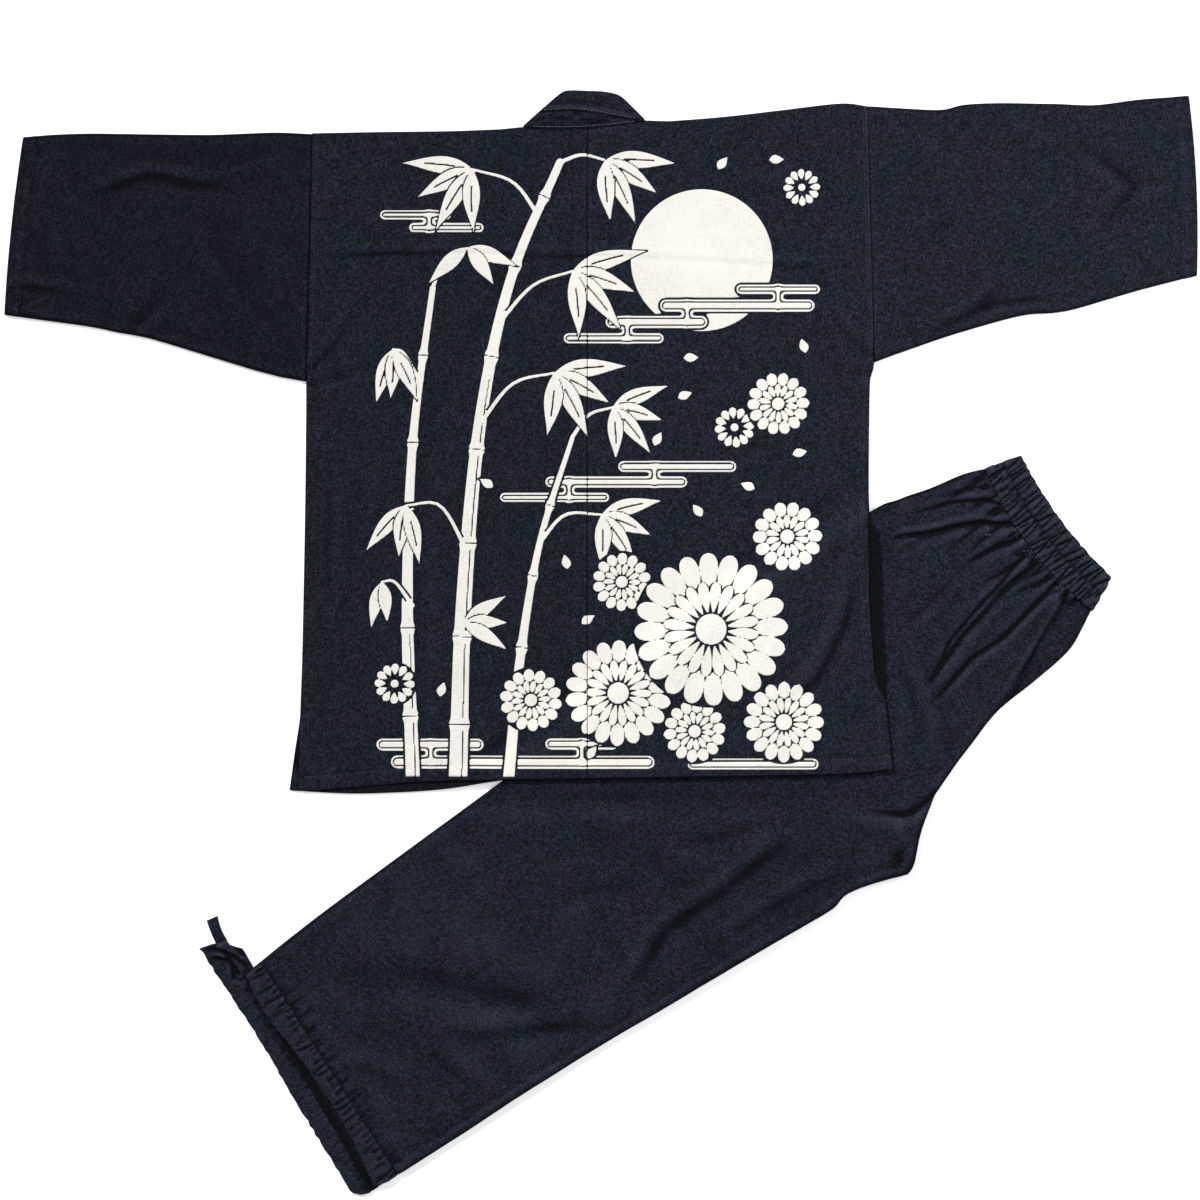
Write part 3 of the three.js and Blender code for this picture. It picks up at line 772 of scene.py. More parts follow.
def backGrid(half):
    left, right, rows = sideCurves(jacket["step"])
    centre = jacket["centreSeam"]
    neckPoints = neckLine(60)
    seamTop = [centre, np.interp(centre, neckPoints[:, 0], neckPoints[:, 1])]
    hem = splitHem(backHem, half)
    seamFoot = [centre, hem[-1][1] if half == "left" else hem[0][1]]
    seam = evenly([seamFoot, seamTop], rows)
    columns = int(jacket["halfWide"] / jacket["step"])
    if half == "left":
        bottom = evenly(np.vstack([hem, [seamFoot]]), columns)
        inner = neckPoints[neckPoints[:, 0] < centre - 1]
        top = evenly(np.vstack([smoothLine(leftShoulder, 60), inner, [seamTop]]), columns)
        return patch(bottom, top, left, seam)
    bottom = evenly(np.vstack([[seamFoot], hem]), columns)
    inner = neckPoints[neckPoints[:, 0] > centre + 1]
    top = evenly(np.vstack([[seamTop], inner, smoothLine(rightShoulder, 60)]), columns)
    return patch(bottom, top, seam, right)


def addBack(half):
    grid = closer(closer(backGrid(half), 1, 5, 3), 0, 5, 2)
    x, y = grid[..., 0], grid[..., 1]
    top = backTop(x, y)
    side = grid[:, :1] if half == "left" else grid[:, -1:]
    slitTop = -75 if half == "left" else 150
    worn = 0.9 * bell(toEdges(grid, side, grid[:1]), 1.1) * softStep((slitTop - y) / 20)
    # painted light and shade: ridges paler and hollows darker from the relief, painted shade in the
    # creases, and the left half's darker tone of painted shade
    worn += reliefOf(top, 3) / 0.55
    worn += jacket["tone"][half] - 0.5 * foldHollow(x, y, jacketFolds)
    seam = x - jacket["centreSeam"]
    worn -= (1.0 + 0.4 * slowNoise(0 * x, y, 40, 23)) * bell(seam, 1.3)
    worn -= 0.5 * bell(seam + jacket["allowance"] + 1, 1.5) * softStep((y - 300) / 200)
    # a line of painted shade in the left armhole seam's groove, and a pale line along the right one
    armhole = np.abs(nearLine(x, y, leftArmhole if half == "left" else rightArmhole)[0])
    rubbedAndPaintedLight = (-0.9 if half == "left" else 0.9) * (1 + 0.5 * slowNoise(0 * x, y, 25, 25))
    worn += rubbedAndPaintedLight * bell(armhole - (0 if half == "left" else 1.5), 1.2)
    return panelShell("back_" + half + "_cloth", grid, top, jacketCotton, wearAndShade=worn)


frontShapes = {
    "left": {
        "edge": [(-85, 567), (86, 215), (96, -143)],
        "hem": [(-342, -163.5), (-288, -166.5), (-243, -166.5), (-175, -162.5), (-110, -152.5),
                (-50, -146.5), (96, -143)],
        "side": [(-342, -163.5), (-336, -120), (-330, -78)] + leftSide[3:],
        "level": 0, "backEdge": leftSide[:3], "outward": 1,
    },
    "right": {
        "edge": [(-126, -147.5), (-116, 215), (50, 574)],
        "hem": [(-126, -147.5), (0, -145.5), (251, -141), (311, -136)],
        "side": [(311, -136), (312, -56), (311, -12), (309, 40), (307.5, 90), (303, 128),
                 (296, 146)] + rightSide[10:],
        "level": 1, "backEdge": rightSide[:10], "outward": -1,
    },
}


def frontTop(half, x, y):
    level = frontShapes[half]["level"]
    height = bodyRise(x, y) + level * (cloth["wall"] + cloth["gap"]) + cloth["wall"]
    if half == "right":
        height = height - sideDrop(x, y)
    hem = nearLine(x, y, frontShapes[half]["hem"])[0]
    return height + pucker(x, y, hem - jacket["hemBand"], 8, 0.2, 27) * (hem > 0)


def frontGrid(half):
    shape = frontShapes[half]
    rows, columns = (int(jacket[size] / jacket["hiddenStep"]) for size in ("long", "frontWide"))
    bottom = smoothLine(shape["hem"], columns)
    if half == "left":
        left = evenly(np.vstack([smoothLine(shape["side"], 200), leftArmhole[-1:]]), rows)
        right = evenly(shape["edge"][::-1], rows)
        top = evenly(np.vstack([smoothLine(leftShoulder, 60), [neck["left"]]]), columns)
    else:
        left = evenly(shape["edge"], rows)
        right = evenly(np.vstack([smoothLine(shape["side"], 200), rightArmhole[-1:]]), rows)
        top = evenly(np.vstack([[neck["right"]], smoothLine(rightShoulder, 60)]), columns)
    return patch(bottom, top, left, right)


def addFront(half):
    grid = frontGrid(half)
    grid = closer(closer(grid, 1, 2, 4), 0, 2, 4)
    x, y = grid[..., 0], grid[..., 1]
    top = frontTop(half, x, y)
    shape = frontShapes[half]
    beside = shape["outward"] * nearLine(x, y, shape["backEdge"])[0]
    below = -nearLine(x, y, backHem)[0]
    out = softStep((beside + 3) / 2)
    # painted shadow: the front's strip beyond the back's side edge is made nearly black, less so near the
    # hem, and its strip below the back's hem is darkened too, as in the back's shade; cut edges are paler
    # with wear
    worn = 0.3 * bell(edgeDistance(grid), 1.0) - out * np.where(below < -22, 1.5, 0.45)
    worn -= softStep((below + 3) / 2)
    return panelShell("front_" + half + "_cloth", grid, top, jacketCotton, wearAndShade=worn)


# the collar band is a doubled strip, seen as a trapezoid at the neck and hidden down both fronts
collar = {
    "crown": [(-85, 567.6), (-62, 588), (-43, 604), (-33, 607), (-14, 606.5), (6, 605.5), (22, 601),
              (35, 589.5), (50, 574.6)],
    "roll": [(-66, 586), (-33, 588), (0, 584.5), (46, 575.5)],
    "thick": 2.4, "step": 1.6, "long": 136, "rise": 38,
}
collarFolds = [
    fold(2.2, 0.9, 1.1, 1.1, 2.6, [(-70, 583.5), (-33, 585.5), (0, 582), (47, 573.5)], 0.1),
    fold(2.0, 0.5, 0.5, 1.2, 2.2, [(-76, 575), (-44, 576.5), (-6, 574.5), (30, 574)], 0.3),
    fold(1.8, 0.3, 0.35, 1.0, 1.8, [(-60, 571), (-30, 572), (10, 571)], 0.4),
    fold(4, 0.35, 0.2, 2, 3, [(-50, 598), (-20, 596), (14, 594)]),
    fold(1.8, 0.4, 0.5, 0.9, 1.7, [(-68, 580), (-30, 580.5), (4, 578), (34, 575.5)], 0.3),
]


def collarStrip(x, y):
    # above 0 between the roll line and the neck seam
    return -nearLine(x, y, smoothLine(collar["roll"], 20))[0]


def collarTop(x, y):
    x, y = np.asarray(x, float), np.asarray(y, float)
    seam = np.abs(nearLine(x, y, neckLine(24))[0])
    crown = np.abs(nearLine(x, y, smoothLine(collar["crown"], 60))[0])
    height = bodyRise(x, neckLine(2)[0][1] - 10 + 0 * y) + 5.9 + foldHeight(x, y, collarFolds, 1.1, 1.5)
    strip = softStep((collarStrip(x, y) + 1) / 4)
    height += 0.5 * strip * slowNoise(x, 5 * y, 14, 33) + 0.3 * slowNoise(x, y, 8, 31)
    return height - 0.8 * bell(seam + 1, 2.0) - 0.7 * bell(crown, 2.4)


def addCollarNeck():
    bottom = neckLine(int(collar["long"] / collar["step"])) - [0, 1.0]
    crown = smoothLine(collar["crown"], 400)
    rise = int(collar["rise"] / collar["step"])
    leftEnd, rightEnd = 44, 356
    left = evenly(crown[:leftEnd + 90], rise)
    right = evenly(crown[:rightEnd - 92:-1], rise)
    top = evenly(crown[leftEnd + 89:rightEnd - 45], len(bottom))
    top = evenly(np.vstack([left[-1:], top, right[-1:]]), len(bottom))
    left[0], right[0] = bottom[0], bottom[-1]
    grid = patch(bottom, top, left, right)
    height = collarTop(grid[..., 0], grid[..., 1])
    x, y = grid[..., 0], grid[..., 1]
    overBack = softStep((3.5 - np.abs(nearLine(x, y, neckLine(24))[0])) / 1.5)
    lapped = height - backTop(x, y) - 0.08
    thick = collar["thick"] * (1 - overBack) + np.maximum(lapped, 0.3) * overBack
    # pale cut edges and a painted highlight along the roll; the relief gives painted light and shade, the
    # band is a little darker all over, and the turned-down strip under the roll gets painted shade
    worn = 0.7 * bell(edgeDistance(grid), 1.6) + 0.5 * bell(nearLine(x, y, collar["roll"])[0], 1.6)
    worn += reliefOf(height, 3) / 0.5 - 0.28 - 0.4 * softStep(collarStrip(x, y) / 3)
    return panelShell("collar_neck_cloth", grid, height, jacketCotton, thick, worn)


bandShapes = {
    "left": {"seam": [(-84.4, 567), (86.3, 215), (96.3, -143)],
             "free": [(-62, 585), (140, 226), (148, -142)]},
    "right": {"seam": [(49.4, 574), (-116.3, 215), (-126.3, -147.5)], "free": collarRightFree},
}


def addBand(half):
    shape = bandShapes[half]
    rows = 120
    seam, free = evenly(shape["seam"][::-1], rows), evenly(shape["free"][::-1], rows)
    first, second = (seam, free) if half == "left" else (free, seam)
    grid = patch(evenly([first[0], second[0]], 9), evenly([first[-1], second[-1]], 9), first, second)
    height = frontTop(half, grid[..., 0], grid[..., 1])
    return panelShell("collar_" + half + "_cloth", grid, height, jacketCotton,
                      wearAndShade=0.8 * bell(edgeDistance(grid), 2))


# sleeves are flattened tubes between a folded shoulder edge and a sewn underarm edge
sleeves = {
    "left": {
        "top": [(-317.05, 559), (-363, 560.5), (-429, 558), (-495, 558.5), (-561, 559.5), (-602, 558),
                (-635, 555)],
        "under": [(-323.5, 287), (-363, 295), (-429, 314.5), (-495, 334.5), (-530, 341), (-561, 347.5),
                  (-614, 355), (-655.5, 361)],
        # the left sleeve's darker tone is painted shade, as the light falls off to the left
        "cuffBow": -2.5, "heightIn": 3.2, "tone": -0.7,
        "folds": [
            fold(9, 1.3, 0.7, 5.2, 8, [(-578, 494), (-553, 496), (-520, 507), (-492, 514), (-455, 506),
                 (-425, 504), (-396, 515)]),
            fold(8, 1.0, 0.5, 4.8, 7, [(-640, 392), (-600, 388), (-559, 378)], 0.7, True),
            fold(9, 0.9, 0.4, 6, -7, [(-516, 342), (-490, 368), (-468, 392)], 0.8, True),
            fold(16, 0.9, 0.3, 10.5, 12, [(-330, 330), (-380, 372), (-420, 430), (-440, 480)]),
            fold(14, 0.8, 0.25, 10.5, 9, [(-600, 470), (-610, 430), (-596, 400)]),
            fold(10, 0.5, 0.2, 7.5, 7, [(-350, 545), (-400, 530), (-470, 540)]),
        ],
    },
    "right": {
        "top": [(294.55, 589), (330, 587), (375, 585.5), (400, 591), (440, 593), (500, 592), (545, 590.5),
                (594, 596.5), (648, 600.5)],
        "under": [(302.05, 308.5), (330, 319), (396, 341), (462, 359.5), (500, 363), (528, 368.5),
                  (594, 388), (657, 404)],
        "cuffBow": 4, "heightIn": 4.2, "tone": 0.0,
        "folds": [
            fold(11, 1.2, 0.8, 7.5, -10, [(508, 566), (550, 532), (583, 505), (579, 492), (548, 456),
                 (520, 440)]),
            fold(8, 0.8, 0.5, 5.4, -7, [(580, 499), (610, 506), (645, 511)]),
            fold(11, 1.1, 0.9, 6.8, 9, [(340, 328), (396, 356), (435, 384), (456, 400)]),
            fold(7, 0.8, 0.7, 4.5, -6, [(405, 358), (440, 372), (470, 376), (505, 379)]),
            fold(7, 0.8, 0.5, 4.5, 6, [(590, 440), (602, 416), (612, 396)], 0.6),
            fold(18, 0.9, 0.3, 12, 13, [(320, 560), (360, 520), (380, 460), (372, 400)]),
            fold(14, 0.7, 0.3, 9, 9, [(430, 575), (480, 545), (530, 540)]),
            fold(16, 0.7, 0.2, 10.5, 11, [(480, 470), (520, 478), (560, 465)]),
        ],
    },
}
sleeveShape = {"step": 4.0, "hem": 16, "blendIn": 90, "puff": 0.35, "long": 345, "wide": 272,
               "inset": 1.5 / 270}


def cuffLine(half, count):
    shape = sleeves[half]
    line = evenly([shape["top"][-1], shape["under"][-1]], count)
    share = np.linspace(0, 1, count)
    line[:, 0] += shape["cuffBow"] * 4 * share * (1 - share)
    return line


def armholeLine(half, count):
    shape = sleeves[half]
    return evenly([shape["top"][0], shape["under"][0]], count)


def sleeveTop(half, x, y):
    x, y = np.asarray(x, float), np.asarray(y, float)
    shape = sleeves[half]
    fromBody = np.abs(nearLine(x, y, armholeLine(half, 2))[0])
    share = softStep(fromBody / sleeveShape["blendIn"])
    flat = shape["heightIn"] + (2.5 * cloth["wall"] - shape["heightIn"]) * share
    slow = 0.55 * (1 + slowNoise(x, y, 90, 3)) + 0.25 * (1 + slowNoise(x, y, 32, 5))
    height = flat + slow + foldHeight(x, y, shape["folds"], 0.75, 1.1)
    height += -0.5 * bell(fromBody, 1.0) + pucker(x, y, fromBody, 8, 0.14, 37)
    cuff = np.abs(nearLine(x, y, cuffLine(half, 8))[0]) - sleeveShape["hem"]
    height += 0.5 * softStep(-cuff / 2.2) - 0.4 * bell(cuff, 1.2)
    height += pucker(x, y, cuff, 7, 0.3, 39)
    shoulder = np.abs(nearLine(x, y, smoothLine(shape["top"], 24))[0])
    under = np.abs(nearLine(x, y, smoothLine(shape["under"], 24))[0])
    height += sleeveShape["puff"] * bell(shoulder - 6, 6) - 0.5 * bell(shoulder, 1.5)
    height += 0.3 * bell(under - 7, 5) - 0.3 * bell(under, 2) + pucker(x, y, under, 9, 0.2, 41)
    return height


def addSleeve(half):
    shape = sleeves[half]
    long, wide = (int(sleeveShape[size] / sleeveShape["step"]) for size in ("long", "wide"))
    grid = patch(armholeLine(half, wide), cuffLine(half, wide), smoothLine(shape["top"], long),
                 smoothLine(shape["under"], long))
    grid = closer(closer(drawnIn(grid, sleeveShape["inset"]), 1, 2, 3), 0, 5, 2)
    top = sleeveTop(half, grid[..., 0], grid[..., 1])
    bottom = np.zeros(top.shape)
    side = toEdges(grid, grid[:, :1], grid[:, -1:])
    fromBody = np.abs(nearLine(grid[..., 0], grid[..., 1], armholeLine(half, 2))[0])
    # painted light and shade: the left sleeve's darker tone, ridges paler and hollows darker from the
    # relief, and painted shade along the folded edges as they turn from the light, in the armhole seam and
    # in the creases
    worn = shape["tone"] + reliefOf(top, 3) / 0.6 - 0.7 * bell(side, 1.6) - 0.8 * bell(fromBody, 1.1)
    worn -= 0.5 * foldHollow(grid[..., 0], grid[..., 1], shape["folds"])
    return tubeShell("sleeve_" + half + "_cloth", grid, top, bottom, jacketCotton, wearAndShade=worn)


ties = {
    "left": {"start": (146, 243), "direction": 65}, "right": {"start": (282, 218), "direction": 90},
    "width": 16, "length": 265, "thick": 1.1,
}


def addTie(half):
    tie = ties[half]
    turn = math.radians(tie["direction"])
    along = np.array([math.cos(turn), math.sin(turn)])
    aside = np.array([-along[1], along[0]]) * ties["width"] / 2
    start = np.array(tie["start"], float)
    end = start + along * ties["length"]
    left, right = evenly([start + aside, end + aside], 60), evenly([start - aside, end - aside], 60)
    grid = patch(evenly([left[0], right[0]], 7), evenly([left[-1], right[-1]], 7), left, right)
    height = ties["thick"] + 0.05 * slowNoise(grid[..., 0], grid[..., 1], 9, 43)
    thick = np.full(height.shape, ties["thick"])
    return panelShell("tie_" + half + "_cloth", grid, height, jacketCotton, thick)


# the trousers: one leg on the other, a gathered waistband and gathered cuffs. Their outlines are in
# u, along the folded leg from its cuffs, and v, across it from the outseam
outseam = [(60, 0), (300, -0.5), (600, 0), (805, 0), (853, 9), (887, 19.5), (922, 28), (948, 38.5)]
inseam = [(60, 287), (119, 289.5), (181, 294), (244, 299.5), (309, 306), (373, 312), (437, 318.5),
          (490, 325), (527, 328.5), (545, 324.5), (564, 327.5), (590, 336), (617, 347)]
crotch = [(617, 347), (629, 341), (655, 318), (687, 297), (723, 283), (763, 271)]
legs = {
    "tone": -0.2, "long": 990, "wide": 330, "inset": 1.5 / 300,
    "upper": {"floor": 3.3, "cuffSeam": [(-14, 6), (-31, 281)], "waistIn": 207, "step": 2.6,
              "rise": crotch + [(803, 258), (830, 252), (861, 240), (898, 220), (925, 210), (938.5, 207)]},
    "lower": {"floor": 0, "cuffSeam": [(-25, 3), (-56, 279)], "waistIn": 232, "step": 7,
              "rise": crotch + [(804, 260.5), (856, 258), (905, 253), (935, 240), (950, 232)]},
}
waist = {"outU": 948, "outV": 38.5, "inU": 951, "inV": 232, "dip": 13, "topOutU": 989, "topOutV": 51,
         "topInU": 990, "topInV": 214, "topDip": 7, "wall": 2.4, "band": 42}

waistFolds = [
    fold(5, 2.6, 2.8, 1.9, -5, [(460, 131), (438, 130), (416, 131), (395, 128), (374, 123), (356, 119),
                                (325, 115), (308, 109)], 0.3, True),
    fold(5, 1.8, 1.3, 1.4, -4.5, [(440, 152), (421, 156), (400, 155), (380, 152), (361, 146), (333, 139)],
         0.5, True),
    fold(4, 0.9, 0.5, 1.4, -3.5, [(428, 171), (403, 168), (380, 161), (359, 156)], 0.6, True),
    fold(5, 1.2, 0.5, 2.0, -4, [(392, 122), (372, 118), (345, 109), (327, 97), (312, 71)]),
    fold(4, 2.0, 2.1, 1.9, 4, [(468, 118), (447, 108), (426, 99), (411, 92), (398, 89)], 0.6, True),
    fold(4, 2.0, 1.3, 1.3, 4, [(470, 99), (442, 66), (416, 38), (398, 17), (385, 1), (372, -27),
                               (362, -48)], 0.3, True),
    fold(7, 1.2, 0.8, 4.0, -8, [(478, 90), (466, 74), (452, 66), (432, 45), (415, 24)], 0.4, True),
    fold(5, 1.6, 1.5, 2.4, 6, [(440, 54), (424, 34), (408, 17), (395, 2), (382, -17), (361, -46),
                               (352, -58)], 0.35),
    fold(5, 1.8, 1.5, 1.6, 5, [(514, 78), (494, 56), (468, 30), (442, 4), (411, -17), (390, -40),
                               (372, -59), (352, -78)], 0.3, True),
    fold(5, 2.4, 2.6, 1.9, 5, [(519, 68), (512, 51), (506, 34), (498, 17), (486, 0), (478, -12),
                               (463, -35), (450, -56)], 0.45, True),
    fold(4, 1.6, 1.4, 1.8, -4, [(530, 35), (522, 16), (511, 2), (500, -8)], 0.6, True),
    fold(7, 0.9, 0.35, 4, 7, [(400, 84), (372, 52), (342, 24), (322, 6)]),
    fold(12, 1.8, 0.28, 7, 12, [(318, 10), (332, -29), (346, -67), (352, -101), (350, -138)]),
]
legFolds = [
    fold(8, 1.9, 1.7, 2.4, 7, [(368, -166), (352, -181), (334, -190), (306, -187), (268, -189)], 0.6,
         True),
    fold(8, 1.4, 0.2, 4.5, -7, [(330, -232), (322, -205), (310, -178)], 0.8, True),
    fold(26, 2.0, 0.85, 19, -30, [(-322, -374), (-242, -367), (-205, -365), (-154, -376), (-112, -387),
         (-46, -404), (20, -414)], 0.3),
    fold(15, 1.9, 1.1, 9, 15, [(-190, -440), (-150, -434), (-81, -427), (-24, -421), (30, -428)], 0.5),
    fold(13, 2.0, 0.85, 8.5, 12, [(4, -414), (24, -388), (48, -356), (69, -321), (99, -297), (129, -277),
         (190, -230), (236, -196)], 0.3),
    fold(12, 1.1, 0.35, 9, -11, [(-90, -318), (-62, -302), (-24, -277), (30, -272), (60, -276)], 0.5),
    fold(16, 1.2, 0.4, 7, 13, [(275, -64), (220, -130), (154, -185)]),
    fold(13, 1.2, 0.5, 6, 12, [(110, -350), (176, -300), (242, -264), (300, -240)]),
    fold(15, 1.0, 0.4, 7, 12, [(-210, -440), (-160, -470), (-110, -510)]),
    fold(12, 0.9, 0.4, 5, 9, [(-300, -470), (-250, -470), (-200, -500)]),
    fold(15, 1.0, 0.3, 7, -12, [(60, -210), (120, -220), (200, -190)]),
]


def waistSeam(v):
    share = (np.asarray(v, float) - waist["outV"]) / (waist["inV"] - waist["outV"])
    return waist["outU"] + (waist["inU"] - waist["outU"]) * share - waist["dip"] * 4 * share * (1 - share)


shown = {"right": 311, "below": -167, "fade": 26}


def openToView(x, y):
    # 0 where the jacket lies on the trousers, 1 clear of it
    aside, under = (x - shown["right"]) / shown["fade"], (shown["below"] - y) / shown["fade"]
    return np.maximum(softStep(aside), softStep(under))


def fromCuffSeam(u, v):
    # how far up the leg a place is from the upper cuff's slanting seam
    return u + 14 + (v - 6) * 17 / 275


shortGathers = gathers(51, 40, 206, 6.8, 0, 12, 34)
longGathers = gathers(52, 44, 204, 15, 0, 34, 88)
cuffPuckers = gathers(53, 8, 280, 9.5, 0, 9, 30)


def legTop(x, y):
    x, y = np.asarray(x, float), np.asarray(y, float)
    u, v = legShares(x, y)
    fromWaist = waistSeam(v) - u
    fromCuff = fromCuffSeam(u, v)
    height = 2.6 * puffed(v, fromWaist, shortGathers, 2.2)
    height = height + 2.2 * puffed(v, fromWaist, longGathers, 2.8) - 4.8
    height += 1.1 * (puffed(v, fromCuff, cuffPuckers, 2.2) - 1) - 0.6 * bell(fromCuff, 2.0)
    height += 1.6 * bell(fromWaist - 4, 26) - 0.5 * bell(fromWaist + 1, 2.0)
    height += 0.8 * (1 + slowNoise(x, y, 80, 61)) + 0.4 * (1 + slowNoise(x, y, 30, 63))
    off = nearLine(x, y, inseamStitch())[0]
    height += 0.45 * softStep(off / 2.5) * softStep((13 - off) / 3) * (off > 0) - 0.4 * bell(off, 1.5)
    height += foldHeight(x, y, waistFolds, 0.6, 2.0) + foldHeight(x, y, legFolds, 0.6, 1.7)
    height += pucker(x, y, off, 9, 0.25, 65)
    return 2 * legFrame["height"] + cloth["gap"] + openToView(x, y) * np.maximum(height, -2.6)


def inseamStitch():
    # the felled seam's row, a little inside the edge from the crotch to the cuff
    return legPlace(*np.array([(612, 332), (562, 315), (527, 316.5), (490, 313), (437, 306.5), (373, 300),
                               (309, 294), (244, 287.5), (181, 282), (119, 277.5), (60, 275),
                               (-24, 269)]).T)


def lowerLegTop(x, y):
    slow = 0.2 * slowNoise(x, y, 40, 67)
    return legFrame["height"] + np.minimum(slow, 0) + 0 * x


def legGrid(which):
    leg = legs[which]
    long, wide = (int(legs[size] / leg["step"]) for size in ("long", "wide"))
    (seamOutU, seamOutV), (seamInU, seamInV) = leg["cuffSeam"]
    outside = smoothLine([(seamOutU, seamOutV)] + outseam, 400)
    inside = np.vstack([smoothLine([(seamInU, seamInV)] + inseam, 300), smoothLine(leg["rise"], 200)[1:]])
    v = np.linspace(waist["outV"], leg["waistIn"], wide)
    waistLine = np.column_stack([waistSeam(v) - 0.5, v])
    outside[-1], inside[-1] = waistLine[0], waistLine[-1]
    cuffSeam = evenly([(seamOutU, seamOutV), (seamInU, seamInV)], wide)
    grid = patch(cuffSeam, waistLine, evenly(outside, long), evenly(inside, long))
    grid = closer(drawnIn(grid, legs["inset"]), 1, 2, 2)
    # rows stand closer at the gathered waist than down the leg
    index = np.arange(len(grid))
    kept = (grid[:, 0, 0] > 640) | (index % 2 == 0) | (index == index[-1])
    return grid[kept]


def addLeg(which):
    shares = legGrid(which)
    grid = legPlace(shares[..., 0], shares[..., 1])
    floor = legs[which]["floor"]
    x, y = grid[..., 0], grid[..., 1]
    top = legTop(x, y) if which == "upper" else lowerLegTop(x, y)
    side = toEdges(grid, grid[:, :1], grid[:, -1:])
    if which == "upper":
        top = top + openToView(x, y) * (0.5 * bell(side - 6, 5) - 0.7 * bell(side, 2.2))
    # painted shade along the folded edges, where they turn away from the light
    worn = legs["tone"] - 0.6 * bell(side, 2.4) - 0.35 * bell(side - 6, 4)
    if which == "upper":
        fromWaist = waistSeam(shares[..., 1]) - shares[..., 0]
        u, v = shares[..., 0], shares[..., 1]
        # painted light and shade on the gathers: puffs paler, creases darker, with painted shade in the
        # puckers at the cuff seam
        creased = (1.2 + 0.8 * bell(fromWaist, 18)) * (puffed(v, fromWaist, shortGathers, 2.2) - 0.9)
        creased += 1.1 * (puffed(v, fromWaist, longGathers, 2.2) - 1)
        fromCuff = fromCuffSeam(u, v)
        creased += 1.5 * (puffed(v, fromCuff, cuffPuckers, 2.6) - 0.95) * bell(fromCuff, 30)
        creased -= 0.5 * bell(fromCuff, 3)
        # ridges paler and hollows darker from the relief, as painted light and shade
        worn += reliefOf(top, 6) / 0.75 + creased
        # painted shade: the cloth behind the last waist fold lies in its shade
        worn -= 0.65 * softStep((x - 524 + 0.77 * (34 - y)) / 14) * softStep((34 - y) / 12)
        # a little lighter about 190 mm up the leg and a little darker about 430 mm up
        worn += 0.28 * bell(u - 190, 120) - 0.16 * bell(u - 430, 130)
        # painted shade in the troughs of the folds, where the leg is clear of the jacket
        hollows = 0.74 * foldHollow(x, y, waistFolds) + 0.28 * foldHollow(x, y, legFolds)
        worn -= openToView(x, y) * hollows
    return tubeShell("leg_" + which + "_cloth", grid, top, np.full(top.shape, floor), trouserCotton,
                     wearAndShade=worn, grain=shares)


lowChannel = gathers(71, 38, 234, 5.6, 0.02, 0.4, 0.75)
highChannel = gathers(72, 48, 216, 5.4, 0.5, 0.55, 0.95)
lowReturn = gathers(73, 38, 234, 9.0, 0.0, 0.2, 0.4)


def bandTop(u, v, share):
    # two elastic channels side by side, drawn in at the three rows of stitching
    channel = np.abs(np.sin(2 * math.pi * share)) ** 0.6
    ripple = bandRipple(v, share)
    return 6.0 + 1.1 * channel + ripple * (2.3 + 1.0 * channel) - 1.5 + 0.25 * slowNoise(u, v, 3.5, 75)


def bandRipple(v, share):
    mix = softStep((share - 0.44) / 0.12)
    scale = waist["band"]  # the creases' lengths are shares of the band's width
    first = puffed(v, scale * share, rescaled(lowChannel, scale), 1.25)
    first = np.minimum(first, puffed(v, scale * (0.5 - share), rescaled(lowReturn, scale), 1.25))
    second = puffed(v, scale * share, rescaled(highChannel, scale), 1.25)
    return first * (1 - mix) + second * mix


def rescaled(creases, scale):
    return [{**crease, "from": scale * crease["from"], "to": scale * crease["to"]} for crease in creases]


def addWaistband():
    long, wide = 40, 200
    share = np.linspace(0, 1, long)[:, None]
    s = np.linspace(0.008, 0.992, wide)[None, :]
    mixed = lambda low, high: low + (high - low) * share
    outU, outV = mixed(waist["outU"] - 0.4, waist["topOutU"]), mixed(waist["outV"], waist["topOutV"])
    inU, inV = mixed(waist["inU"] - 0.4, waist["topInU"]), mixed(waist["inV"], waist["topInV"])
    u = outU + (inU - outU) * s - mixed(waist["dip"], waist["topDip"]) * 4 * s * (1 - s)
    v = outV + (inV - outV) * s
    u = u + 0.7 * slowNoise(v, 0 * v, 4, 77) * share**3
    grid = legPlace(u, v)
    top = bandTop(u, v, share + 0 * s)
    # painted light and shade: from the relief, and the puffs of the gathered band paler than its creases
    worn = reliefOf(top, 4) / 0.45 + 2.6 * (bandRipple(v, share + 0 * s) - 0.85)
    return tubeShell("waistband_cloth", grid, top, np.zeros(top.shape), trouserCotton, waist["wall"], 4,
                     worn, np.stack([v, u], -1))


